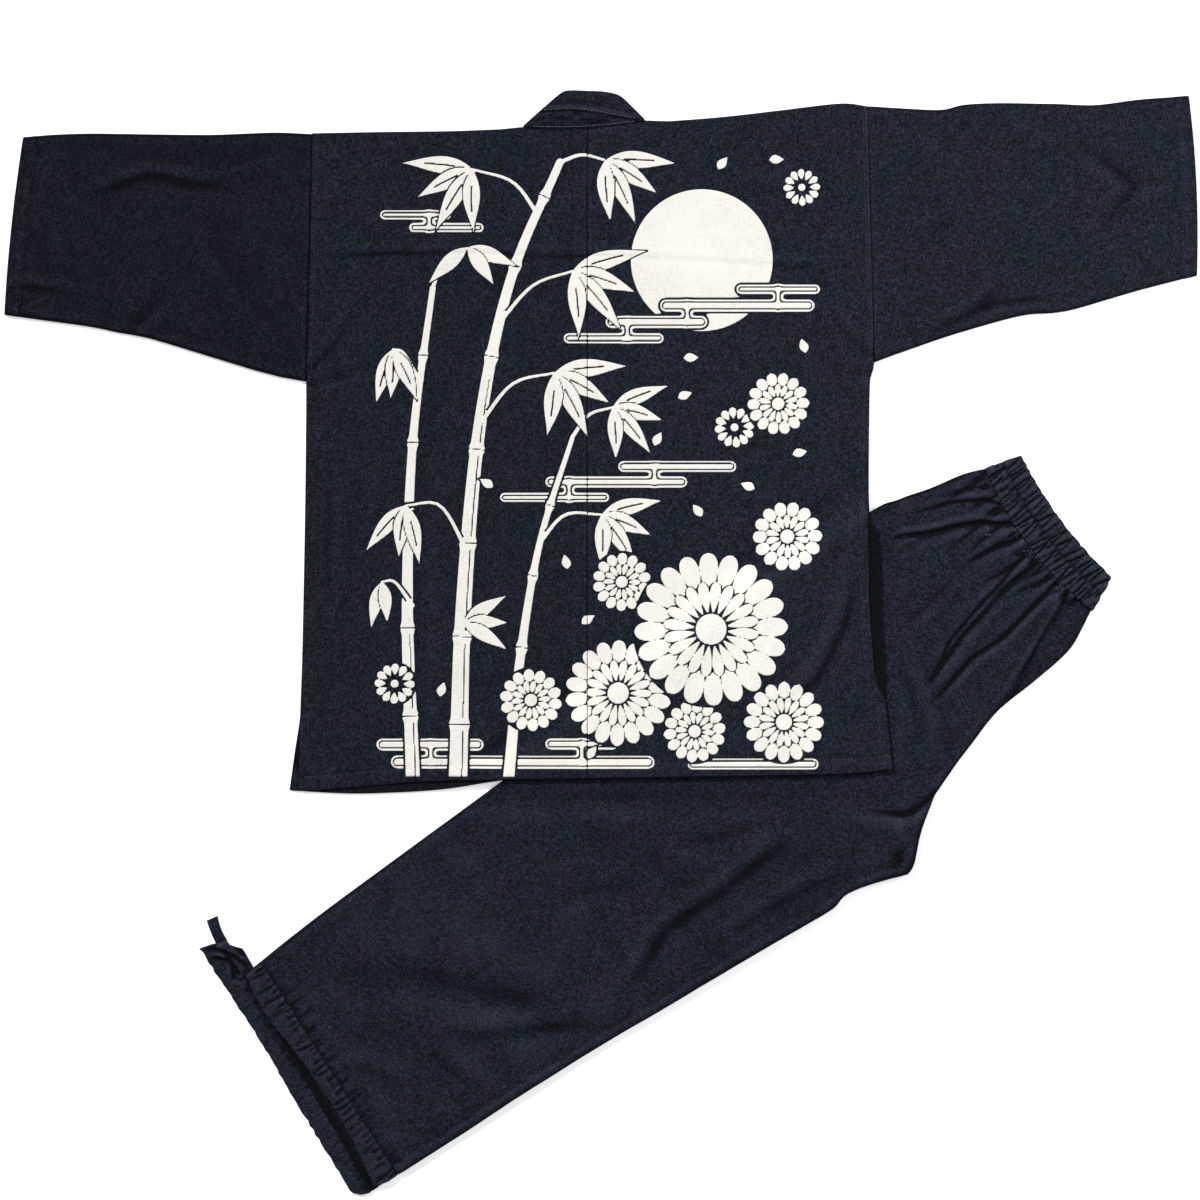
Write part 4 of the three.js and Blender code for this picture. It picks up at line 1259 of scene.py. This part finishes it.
cuffs = {
    "casing": 24,
    "upper": {"floor": 3.3, "seam": [(-14.4, 6), (-31.4, 281)], "middle": [(-26, 6), (-46, 279)],
              "hem": [(-37, 6), (-44, 49), (-43, 99), (-42.5, 150), (-48, 210), (-60, 275)],
              "gather": 2.1},
    "lower": {"floor": 0, "seam": [(-22.9, -20), (-56.5, 279)], "middle": [(-40, -38), (-71, 277)],
              "hem": [(-60, -48), (-62.6, -8), (-67, 71), (-75, 148), (-81.5, 224), (-85, 262),
                      (-82.5, 271)],
              "gather": 1.6},
}
nubFolds = [
    fold(3.6, 2.0, 1.5, 1.7, 3.4, [(-436, -336), (-420, -338), (-402, -346), (-384, -358)], 0.15),
    fold(3.0, 1.6, 1.4, 1.6, 3.0, [(-432, -348), (-416, -348), (-402, -356), (-394, -370)], 0.2),
    fold(3.0, 1.3, 1.2, 1.5, -2.8, [(-416, -340), (-406, -352), (-402, -372)], 0.2),
    fold(2.6, 1.6, 1.6, 1.5, 2.8, [(-402, -333), (-392, -344), (-380, -350)], 0.15),
]


cuffGathers = {"upper": gathers(81, 6, 282, 7, 0.0, 0.3, 1.3),
               "lower": gathers(82, 0, 282, 9.5, 0.1, 0.5, 1.1)}
nubGathers = gathers(83, -48, 8, 6.0, 0.0, 0.6, 1.3)


def cuffTop(which, x, y, share):
    cuff = cuffs[which]
    v = legShares(x, y)[1]
    scale = cuffs["casing"]
    puff = np.sin(math.pi * np.clip(share, 0, 1)) ** 0.7
    ripple = puffed(v, scale * share, rescaled(cuffGathers[which], scale), 2.2)
    level = cuff["floor"] + legFrame["height"]
    height = level + cuff["gather"] * (ripple * (0.8 + 0.5 * puff) - 0.8) + 0.9 * puff
    height = height - 0.5 * bell(share, 0.08) + 0.25 * slowNoise(x, y, 4, 87)
    if which == "lower":
        height = np.where((v > 1) & (share < 0.35), np.minimum(height, level + 0.1), height)
        nub = foldHeight(x, y, nubFolds, 1.5, 1.6)
        nub = nub + 1.6 * puffed(v, scale * share, rescaled(nubGathers, scale), 1.8)
        height = np.maximum(height + nub * softStep((6 - v) / 10), 2.6)
    return height


def addCuff(which):
    cuff = cuffs[which]
    wide, long = (280, 24) if which == "lower" else (240, 20)
    seam, middle, hem = (smoothLine(cuff[key], wide) for key in ("seam", "middle", "hem"))
    share = np.linspace(0, 1, long)[:, None, None]
    bend = middle - (seam + hem) / 2
    shares = seam + (hem - seam) * share + bend * 4 * share * (1 - share)
    shares = shares[:, 1:-1]
    wave = 0.8 * slowNoise(shares[..., 1], 0 * shares[..., 1], 6, 89)
    shares = shares + np.stack([wave * share[..., 0] ** 2, 0 * wave], -1)
    grid = legPlace(shares[..., 0], shares[..., 1])
    height = cuffTop(which, grid[..., 0], grid[..., 1], share[..., 0] + 0 * shares[..., 0])
    floor = np.full(height.shape, cuff["floor"], float)
    along = shares[..., 1]
    # pale cut edges, with painted light and shade from the relief
    worn = 0.4 * bell(edgeDistance(grid), 1.2) + reliefOf(height, 3) / 0.5
    if which == "upper":
        scale = cuffs["casing"]
        ripple = puffed(along, scale * share[..., 0], rescaled(cuffGathers[which], scale), 2.2)
        # painted highlights on the upper cuff's puffs and painted shade in its creases
        worn = worn + 1.3 * (ripple - 0.8)
    else:
        # painted shadow of the upper cuff on the lower cuff beside its hem, widening along it
        hem = np.array(cuffs["upper"]["hem"], float)
        out = np.interp(along, hem[:, 1], hem[:, 0]) - shares[..., 0]
        dark = 6 + 6 * softStep((along - 30) / 90)
        worn = 0.6 * worn + 0.1 - 1.5 * softStep((dark + 3 - out) / 6) * softStep((along - 2) / 12)
        # painted shade in the creases of the gathered corner
        creased = 2.3 * foldHollow(grid[..., 0], grid[..., 1], nubFolds) + 0.1
        worn = worn - creased * softStep((6 - along) / 10)
    return tubeShell("cuff_" + which + "_cloth", grid, height, floor, trouserCotton, None, 4, worn,
                     shares[..., ::-1])


cuffTie = {"foot": (-36.6, -38.4), "direction": 114, "width": 14.5, "length": 30, "thick": 1.6, "lap": 6}


def addCuffTie():
    # the tie's foot laps over the gathered corner of the cuff, and its end lies on the table
    turn = math.radians(cuffTie["direction"])
    along = np.array([math.cos(turn), math.sin(turn)])
    aside = np.array([-along[1], along[0]])
    t = np.linspace(0, 1, 28)[:, None]
    s = np.linspace(-0.5, 0.5, 13)[None, :]
    reach = (cuffTie["length"] + cuffTie["lap"]) * t - cuffTie["lap"] + 2.0 * (1 - t) * s
    offset = cuffTie["width"] * (1 - 0.12 * np.sin(math.pi * t) - 0.1 * t) * s + 1.6 * np.sin(math.pi * t)
    grid = legPlace(*cuffTie["foot"]) + along * reach[..., None] + aside * offset[..., None]
    x, y = grid[..., 0], grid[..., 1]
    onNub = cuffTop("lower", x, y, 0.9 + 0 * x) + 0.15
    under = onNub * softStep((3.5 - reach) / 4) + 1.2 * softStep(reach / 26) * softStep((29 - reach) / 10)
    curl = 0.5 * np.cos(math.pi * s * 1.9) + 0.25 * slowNoise(x, y, 4, 91)
    height = under + cuffTie["thick"] + curl - 0.25
    thick = np.full(height.shape, cuffTie["thick"])
    grain = np.stack([cuffTie["width"] * s + 0 * t, reach], -1)
    # pale cut edges, with painted light and shade from the relief
    worn = 0.5 * bell(edgeDistance(grid), 1.4) + reliefOf(height, 2) / 0.8
    return panelShell("cuff_tie_cloth", grid, height, trouserCotton, thick, worn, grain)


# the printed design: a bamboo grove, chrysanthemums, mist and a moon, from formulas
motifs = {
    "cell": 1.5, "box": (-258, 243, -146, 543), "ink": 0.16, "lift": 0.12, "seamGap": 0.45, "rim": 2.2,
    "films": {"left": {"half": "left", "from": -150, "to": 550},
              "right_low": {"half": "right", "from": -150, "to": 199.3},
              "right_high": {"half": "right", "from": 199.3, "to": 550}},
    "moon": {"at": (112, 420), "radius": 78},
    "mist": [
        {"bands": [(352, 6, 118, 6.5), (370, 66, 236, 6.5), (334, -40, 70, 5.5), (388, 150, 242, 5.0)],
         "posts": [(352, 370, 96), (334, 352, 30), (370, 388, 196)]},
        {"bands": [(176, -60, 96, 6.0), (193, 20, 150, 6.0), (159, -110, 10, 5.0)],
         "posts": [(176, 193, 60), (159, 176, -34)]},
        {"bands": [(-132, -230, 60, 7.0), (-113, -246, -128, 6.5), (-112, -60, 20, 6.0)],
         "posts": [(-132, -113, -186), (-132, -112, -20)]},
        {"bands": [(470, -242, -164, 5.0), (456, -210, -128, 5.0)], "posts": [(456, 470, -188)]},
        {"bands": [(-134, 96, 240, 6.0)], "posts": []},
    ],
    "culms": [
        {"line": [(-156, -146), (-150, 40), (-132, 240), (-98, 400), (-44, 528)], "wide": 11, "thin": 5,
         "joints": [0.08, 0.22, 0.37, 0.52, 0.67, 0.82, 0.94]},
        {"line": [(-206, -146), (-212, 40), (-206, 220), (-184, 390)], "wide": 8.5, "thin": 4,
         "joints": [0.12, 0.3, 0.49, 0.68, 0.86]},
        {"line": [(-100, -146), (-88, -20), (-66, 110), (-30, 226)], "wide": 7, "thin": 3.2,
         "joints": [0.16, 0.37, 0.58, 0.79]},
    ],
    "twigs": [
        [(-112, 350), (-74, 392), (-30, 408)], [(-132, 240), (-96, 284), (-50, 296)],
        [(-68, 470), (-96, 506), (-140, 520)], [(-200, 290), (-216, 318), (-228, 322)],
        [(-184, 390), (-172, 420), (-146, 434)], [(-146, 100), (-176, 150), (-214, 150)],
        [(-66, 110), (-38, 140), (2, 140)], [(-30, 226), (-12, 250), (14, 258)],
        [(-44, 528), (-20, 536), (6, 530)], [(-206, 40), (-226, 66), (-240, 66)],
    ],
    "sprays": [
        {"at": (-30, 408), "turns": [22, -12, -44, -78], "long": 84, "wide": 10.5},
        {"at": (-50, 296), "turns": [12, -22, -56, -90], "long": 80, "wide": 10.5},
        {"at": (-140, 520), "turns": [168, 200, 232, 264], "long": 78, "wide": 10},
        {"at": (-228, 322), "turns": [246, 274, 302], "long": 62, "wide": 8.9},
        {"at": (-146, 434), "turns": [-14, -48, 216], "long": 58, "wide": 8.5},
        {"at": (-214, 150), "turns": [222, 256, 290], "long": 66, "wide": 9},
        {"at": (2, 140), "turns": [20, -16, -50, -84], "long": 68, "wide": 9.5},
        {"at": (14, 258), "turns": [28, -8, -44, -80], "long": 66, "wide": 9},
        {"at": (6, 530), "turns": [4, -26, -58, -92], "long": 78, "wide": 10},
        {"at": (-240, 66), "turns": [250, 284], "long": 52, "wide": 7.5},
        {"at": (-150, 20), "turns": [40, 8, -24], "long": 56, "wide": 8},
    ],
    "flowers": [
        {"at": (122, 14), "radius": 84, "petals": 20}, {"at": (20, -56), "radius": 58, "petals": 18},
        {"at": (206, 116), "radius": 38, "petals": 14}, {"at": (202, -88), "radius": 44, "petals": 16},
        {"at": (24, 66), "radius": 32, "petals": 14}, {"at": (104, -98), "radius": 34, "petals": 14},
        {"at": (-76, -64), "radius": 34, "petals": 14}, {"at": (196, 262), "radius": 34, "petals": 14},
        {"at": (148, 236), "radius": 22, "petals": 12}, {"at": (222, 500), "radius": 20, "petals": 12},
        {"at": (-226, -46), "radius": 22, "petals": 12},
    ],
    "petals": [(86, 268, 30), (112, 138, 120), (60, 216, 70), (212, 206, 20), (170, 168, 150),
               (-14, -128, 60), (92, 312, 10), (226, 318, 100), (-176, -60, 80), (-118, 170, 140),
               (-20, 20, 40), (130, 520, 60), (186, 530, 10), (-36, 80, 95)],
}


def leafShape(x, y, at, turn, long, wide):
    angle = math.radians(turn)
    a = (x - at[0]) * math.cos(angle) + (y - at[1]) * math.sin(angle)
    b = -(x - at[0]) * math.sin(angle) + (y - at[1]) * math.cos(angle)
    b = b + 0.12 * long * (a / long) ** 2 * (1 if math.cos(angle) > 0 else -1)
    share = np.clip(a / long, 0, 1)
    half = 1.06 * wide * np.sin(math.pi * share**0.82) ** 1.15 * (1 - 0.25 * share)
    outside = np.hypot(np.minimum(a, 0) + np.maximum(a - long, 0), b)
    body = np.where((a > 0) & (a < long), np.abs(b) - half, outside)
    vein = np.where((share > 0.26) & (share < 0.7) & (wide > 8.8), 0.9 - np.abs(b), -9)
    return body, np.maximum(body, vein), 1.5 * (share > 0.1)


def petalRing(away, angle, outer, inner, petals, phase):
    # a ring of slim petals with round tips, apart at their feet
    sector = 2 * math.pi / petals
    local = np.abs((angle + phase) % sector - sector / 2)
    ahead, aside = away * np.cos(local), away * np.sin(local)
    share = np.clip((ahead - inner) / (outer - inner), 0, 1)
    fullest = (inner + 0.72 * (outer - inner)) * math.tan(sector / 2) - 0.9
    half = fullest * np.sqrt(np.clip(1 - (2 * share**1.9 - 1) ** 2, 0, 1))
    return np.where((ahead > inner) & (ahead < outer), aside - half,
                    np.hypot(np.minimum(ahead - inner, 0) + np.maximum(ahead - outer, 0), aside))


def flowerShape(x, y, flower):
    # two rings of petals and a heart of small dots
    dx, dy = x - flower["at"][0], y - flower["at"][1]
    away, angle = np.hypot(dx, dy), np.arctan2(dy, dx) + math.pi
    radius, petals = flower["radius"], flower["petals"]
    turn = 0.001 * flower["at"][0]
    ink = petalRing(away, angle, radius, 0.42 * radius, petals, turn)
    middle = petalRing(away, angle, 0.62 * radius, 0.2 * radius, petals, turn + math.pi / petals)
    if radius > 25:
        ink = np.minimum(np.maximum(ink, 1.8 - middle), middle)
    heart = away - 0.2 * radius
    return np.minimum(np.maximum(ink, 1.7 - heart), heart)


def capsule(x, y, first, last, half):
    # the distance to a bar with round ends
    (fromX, fromY), (toX, toY) = first, last
    offX = x - np.clip(x, min(fromX, toX), max(fromX, toX))
    offY = y - np.clip(y, min(fromY, toY), max(fromY, toY))
    return np.hypot(offX, offY) - half


def mistShape(x, y, group):
    # bars joined by short posts with hollowed corners, and a bare line inside the edge
    bars = [capsule(x, y, (low + half, at), (high - half, at), half)
            for at, low, high, half in group["bands"]]
    bars += [capsule(x, y, (at, low), (at, high), 5.0) for low, high, at in group["posts"]]
    soft = 1.6
    joined = -soft * np.log(sum(np.exp(-np.clip(bar, -40, 60) / soft) for bar in bars))
    return joined, np.maximum(joined, 0.8 - np.abs(joined + 2.8))


def laidOver(ink, body, drawn, rim):
    # a motif in front of what is there: bare cloth round it, then its own ink
    return np.minimum(np.maximum(ink, rim - body), drawn)


def culmShape(x, y, culm):
    off, share = nearLine(x, y, smoothLine(culm["line"], 36))
    half = culm["wide"] + (culm["thin"] - culm["wide"]) * share
    length = np.hypot(*np.diff(np.array(culm["line"]), axis=0).T).sum()
    apart = np.min([np.abs(share - joint) for joint in culm["joints"]], axis=0) * length
    half = half - 0.8 + 1.9 * bell(apart, 5)
    body = np.abs(off) - half
    drawn = np.maximum(body, 0.7 - apart)
    shine = np.maximum(np.maximum(np.abs(off + 0.4 * half) - 0.75, 7 - apart), 6.4 - half)
    return body, np.maximum(drawn, -shine)


def designDistance(x, y):
    # below 0 where there is ink, painted from the back of the scene to its front
    rim = motifs["rim"]
    moon = motifs["moon"]
    ink = np.hypot(x - moon["at"][0], y - moon["at"][1]) - moon["radius"]
    for group in motifs["mist"]:
        ink = laidOver(ink, *mistShape(x, y, group), rim)
    for culm in motifs["culms"][::-1]:
        ink = laidOver(ink, *culmShape(x, y, culm), rim)
    for twig in motifs["twigs"]:
        off, share = nearLine(x, y, smoothLine(twig, 12))
        twigShape = np.abs(off) - 2.2 + 0.9 * share
        ink = laidOver(ink, twigShape, twigShape, rim * (share > 0.15))
    for spray in motifs["sprays"]:
        for k, turn in enumerate(spray["turns"]):
            long = spray["long"] * (1 - 0.13 * (k % 2))
            ink = laidOver(ink, *leafShape(x, y, spray["at"], turn, long, spray["wide"]))
    for at in motifs["petals"]:
        body = leafShape(x, y, at[:2], at[2], 17, 5.2)[0]
        ink = laidOver(ink, body, body, rim)
    for flower in motifs["flowers"][::-1]:
        away = np.hypot(x - flower["at"][0], y - flower["at"][1]) - flower["radius"]
        ink = laidOver(ink, away, flowerShape(x, y, flower), rim)
    return np.maximum(ink, motifs["seamGap"] - np.abs(x - jacket["centreSeam"]))


def inkBlocks(index, inked):
    # four cells that are all ink become one large cell, with a point halfway along a side only where
    # small cells meet it. The small cells that are left stay as a mask
    full = inked[index[:-1, :-1]] & inked[index[:-1, 1:]] & inked[index[1:, 1:]] & inked[index[1:, :-1]]
    down, along = full.shape[0] // 2, full.shape[1] // 2
    blocks = full[:2 * down, :2 * along].reshape(down, 2, along, 2).all((1, 3))
    small = np.ones(full.shape, bool)
    small[:2 * down, :2 * along] = ~np.repeat(np.repeat(blocks, 2, 0), 2, 1)
    i, j = np.nonzero(blocks)
    padded = np.pad(blocks, 1)
    at = lambda row, column: index[2 * i + row, 2 * j + column]
    sides = [(at(0, 0), at(0, 1), at(0, 2), padded[i, j + 1]),
             (at(0, 2), at(1, 2), at(2, 2), padded[i + 1, j + 2]),
             (at(2, 2), at(2, 1), at(2, 0), padded[i + 2, j + 1]),
             (at(2, 0), at(1, 0), at(0, 0), padded[i + 1, j])]
    inside = np.logical_and.reduce([joined for _, _, _, joined in sides])
    triangles = [np.column_stack([at(0, 0), at(0, 2), at(2, 2)])[inside],
                 np.column_stack([at(0, 0), at(2, 2), at(2, 0)])[inside]]
    for first, middle, last, joined in sides:
        straight, halved = ~inside & joined, ~inside & ~joined
        triangles.append(np.column_stack([at(1, 1), first, last])[straight])
        triangles.append(np.column_stack([at(1, 1), first, middle])[halved])
        triangles.append(np.column_stack([at(1, 1), middle, last])[halved])
    return small, np.vstack(triangles)


def inkTriangles(distance, columns):
    # cuts a grid of triangles along the line where the distance is 0
    rows = len(distance) // columns
    index = np.arange(rows * columns).reshape(rows, columns)
    inked = distance < 0
    small, blocks = inkBlocks(index, inked)
    corners = (index[:-1, :-1], index[:-1, 1:], index[1:, 1:], index[1:, :-1])
    a, b, c, d = (corner[small] for corner in corners)
    cells = np.vstack([np.column_stack([a, b, c]), np.column_stack([a, c, d])])
    count = inked[cells].sum(1)
    whole = cells[count == 3]

    def led(rows, leader):
        first = np.argmax(inked[rows] == leader, axis=1)
        order = (first[:, None] + np.arange(3)) % 3
        return np.take_along_axis(rows, order, 1)

    one, two = led(cells[count == 1], True), led(cells[count == 2], False)
    crossings = np.vstack([one[:, [0, 1]], one[:, [0, 2]], two[:, [0, 1]], two[:, [0, 2]]])
    keys = np.sort(crossings, 1)
    unique, where = np.unique(keys, axis=0, return_inverse=True)
    where = where.ravel() + rows * columns
    ab, ac = where[:len(one)], where[len(one):2 * len(one)]
    pb, pc = where[2 * len(one):2 * len(one) + len(two)], where[2 * len(one) + len(two):]
    triangles = np.vstack([blocks, whole, np.column_stack([one[:, 0], ab, ac]),
                           np.column_stack([pb, two[:, 1], two[:, 2]]),
                           np.column_stack([pb, two[:, 2], pc])])
    return triangles, unique


def addPrint(part):
    # one film of ink: a half of the back, or a stretch of it between two heights
    film = motifs["films"][part]
    low, high, bottom, top = motifs["box"]
    centre = jacket["centreSeam"]
    low, high = (low, centre) if film["half"] == "left" else (centre, high)
    xs = np.arange(low - 4, high + 4, motifs["cell"])
    ys = np.arange(bottom - 2, top + 4, motifs["cell"])
    ys = ys[(ys > film["from"] - 5) & (ys < film["to"] + 5)]
    x, y = (values.ravel() for values in np.meshgrid(xs, ys))
    overSeam = x - centre if film["half"] == "left" else centre - x
    distance = np.maximum.reduce([designDistance(x, y), overSeam, film["from"] - y, y - film["to"]])
    tiny = np.abs(distance) < 0.12
    distance = np.where(tiny, np.where(distance < 0, -0.12, 0.12), distance)
    triangles, edges = inkTriangles(distance, len(xs))
    share = distance[edges[:, 0]] / (distance[edges[:, 0]] - distance[edges[:, 1]])
    cutX = x[edges[:, 0]] + (x[edges[:, 1]] - x[edges[:, 0]]) * share
    cutY = y[edges[:, 0]] + (y[edges[:, 1]] - y[edges[:, 0]]) * share
    placeX, placeY = np.concatenate([x, cutX]), np.concatenate([y, cutY])
    used, triangles = np.unique(triangles, return_inverse=True)
    triangles = triangles.reshape(-1, 3)
    placeX, placeY = placeX[used], placeY[used]
    surface = backTop(placeX, placeY) + motifs["lift"]
    upper = np.column_stack([placeX, placeY, surface + motifs["ink"]])
    lower = np.column_stack([placeX, placeY, surface])
    count = len(upper)
    sides = np.vstack([triangles[:, [0, 1]], triangles[:, [1, 2]], triangles[:, [2, 0]]])
    back = {(b, a) for a, b in sides.tolist()}
    rim = np.array([(a, b) for a, b in sides.tolist() if (a, b) not in back])
    walls = np.vstack([np.column_stack([rim[:, 0] + count, rim[:, 1] + count, rim[:, 1]]),
                       np.column_stack([rim[:, 0] + count, rim[:, 1], rim[:, 0]])])
    faces = np.vstack([triangles, triangles[:, ::-1] + count, walls])
    return makePiece("print_" + part + "_ink", np.vstack([upper, lower]), faces, whiteInk)


def shiftLine(line, dx, dy):
    return np.asarray(line, float) + [dx, dy]


made = {}
for half in ("left", "right"):
    made["back_" + half] = addBack(half)
    made["front_" + half] = addFront(half)
    made["collar_" + half] = addBand(half)
    made["sleeve_" + half] = addSleeve(half)
    made["tie_" + half] = addTie(half)
made["collar_neck"] = addCollarNeck()
print("jacket is sewn")
for which in ("upper", "lower"):
    made["leg_" + which] = addLeg(which)
    made["cuff_" + which] = addCuff(which)
made["waistband"] = addWaistband()
made["cuff_tie"] = addCuffTie()
print("trousers are sewn")

backLeftRows = [
    (shiftLine(smoothLine(backHem[:5], 60), 0, jacket["hemBand"] - 1.5), backTop),
    (shiftLine(leftSide[:3], jacket["slitBand"], 0), backTop),
    (shiftLine(leftArmhole, 5.5, 0), backTop),
    (neckLine(20)[:11] - [0, 2.2], backTop),
]
backRightRows = [
    (shiftLine(smoothLine(backHem[4:], 40), 0, jacket["hemBand"] - 1.5), backTop),
    (shiftLine(rightSide[:10], -jacket["slitBand"], 0), backTop),
    (shiftLine(rightArmhole, -5.5, 0), backTop),
    (neckLine(20)[10:] - [0, 2.2], backTop),
]
overCollar = lambda x, y: collarTop(x, y) + 0.22
collarRows = [(smoothLine(collar["roll"], 20) - [0, 1.2], overCollar),
              (neckLine(20)[1:-1] + [0, 1.0], overCollar)]
threads = {
    "back_left": stitching("back_left_stitches", backLeftRows, jacketThread),
    "back_right": stitching("back_right_stitches", backRightRows, jacketThread),
    "collar_neck": stitching("collar_neck_stitches", collarRows, paleThread),
}
for half, inward in (("left", 1), ("right", -1)):
    surface = lambda x, y, half=half: sleeveTop(half, x, y)
    hemRow = shiftLine(cuffLine(half, 30)[1:-1], inward * sleeveShape["hem"], 0)
    threads["sleeve_" + half] = stitching("sleeve_" + half + "_stitches", [(hemRow, surface)],
                                          jacketThread)


def bandRow(share, count=80):
    s = np.linspace(0.02, 0.98, count)
    mixed = lambda low, high: waist[low] + (waist[high] - waist[low]) * share
    dip = waist["dip"] + (waist["topDip"] - waist["dip"]) * share
    outU, outV = mixed("outU", "topOutU"), mixed("outV", "topOutV")
    u = outU + (mixed("inU", "topInU") - outU) * s - dip * 4 * s * (1 - s)
    v = outV + (mixed("inV", "topInV") - outV) * s
    surface = lambda x, y: bandTop(*legShares(x, y), share)
    return legPlace(u, v), surface


def cuffRow(which):
    cuff = cuffs[which]
    line = smoothLine(cuff["seam"], 60)
    line = line + (smoothLine(cuff["hem"], 60) - line) * 0.08
    surface = lambda x, y: cuffTop(which, x, y, 0.08)
    return legPlace(line[2:-2, 0], line[2:-2, 1]), surface


threads["leg_upper"] = stitching("leg_upper_stitches", [(inseamStitch(), legTop)], trouserThread)
threads["waistband"] = stitching("waistband_stitches", [bandRow(0.06), bandRow(0.5), bandRow(0.94)],
                                 trouserThread)
flecks = [(legPlace(u, v), legTop) for u, v in (([934, 942], [112, 109]), ([931, 938], [118, 121]),
                                                ([930, 939], [128, 124]), ([928, 934], [135, 138]),
                                                ([905, 911], [96, 99]), ([934, 941], [150, 147]))]
fleckThread = stitching("leg_upper_thread_ends", flecks, paleThread, 0)
for which in ("upper", "lower"):
    threads["cuff_" + which] = stitching("cuff_" + which + "_stitches", [cuffRow(which)], trouserThread)
print("seams are stitched")

prints = {"back_left": [addPrint("left")], "back_right": [addPrint("right_low"), addPrint("right_high")]}
print("design is printed")

# the table is pale and lies just below the cloth
floorSize = 3.0
bpy.ops.mesh.primitive_plane_add(size=floorSize, location=(0, 0, -0.0004))
table = bpy.context.object
table.name = "table"
table.data.materials.append(paleTable())
table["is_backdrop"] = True

# what each piece stands for: it and its stitches and print hang from the root body, in place of the
# model's part of the same name, which is hidden
for node, piece in made.items():
    inks = prints.get(node, [])
    extras = ([threads[node]] if node in threads else []) + inks
    if node == "leg_upper":
        extras = extras + [fleckThread]
    for part in [piece] + extras:
        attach(part, "root")
    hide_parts(node)

sizes = {"cad": [list(map(float, corner)) for corner in cadBounds],
         "visual": [list(map(float, corner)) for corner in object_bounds()]}
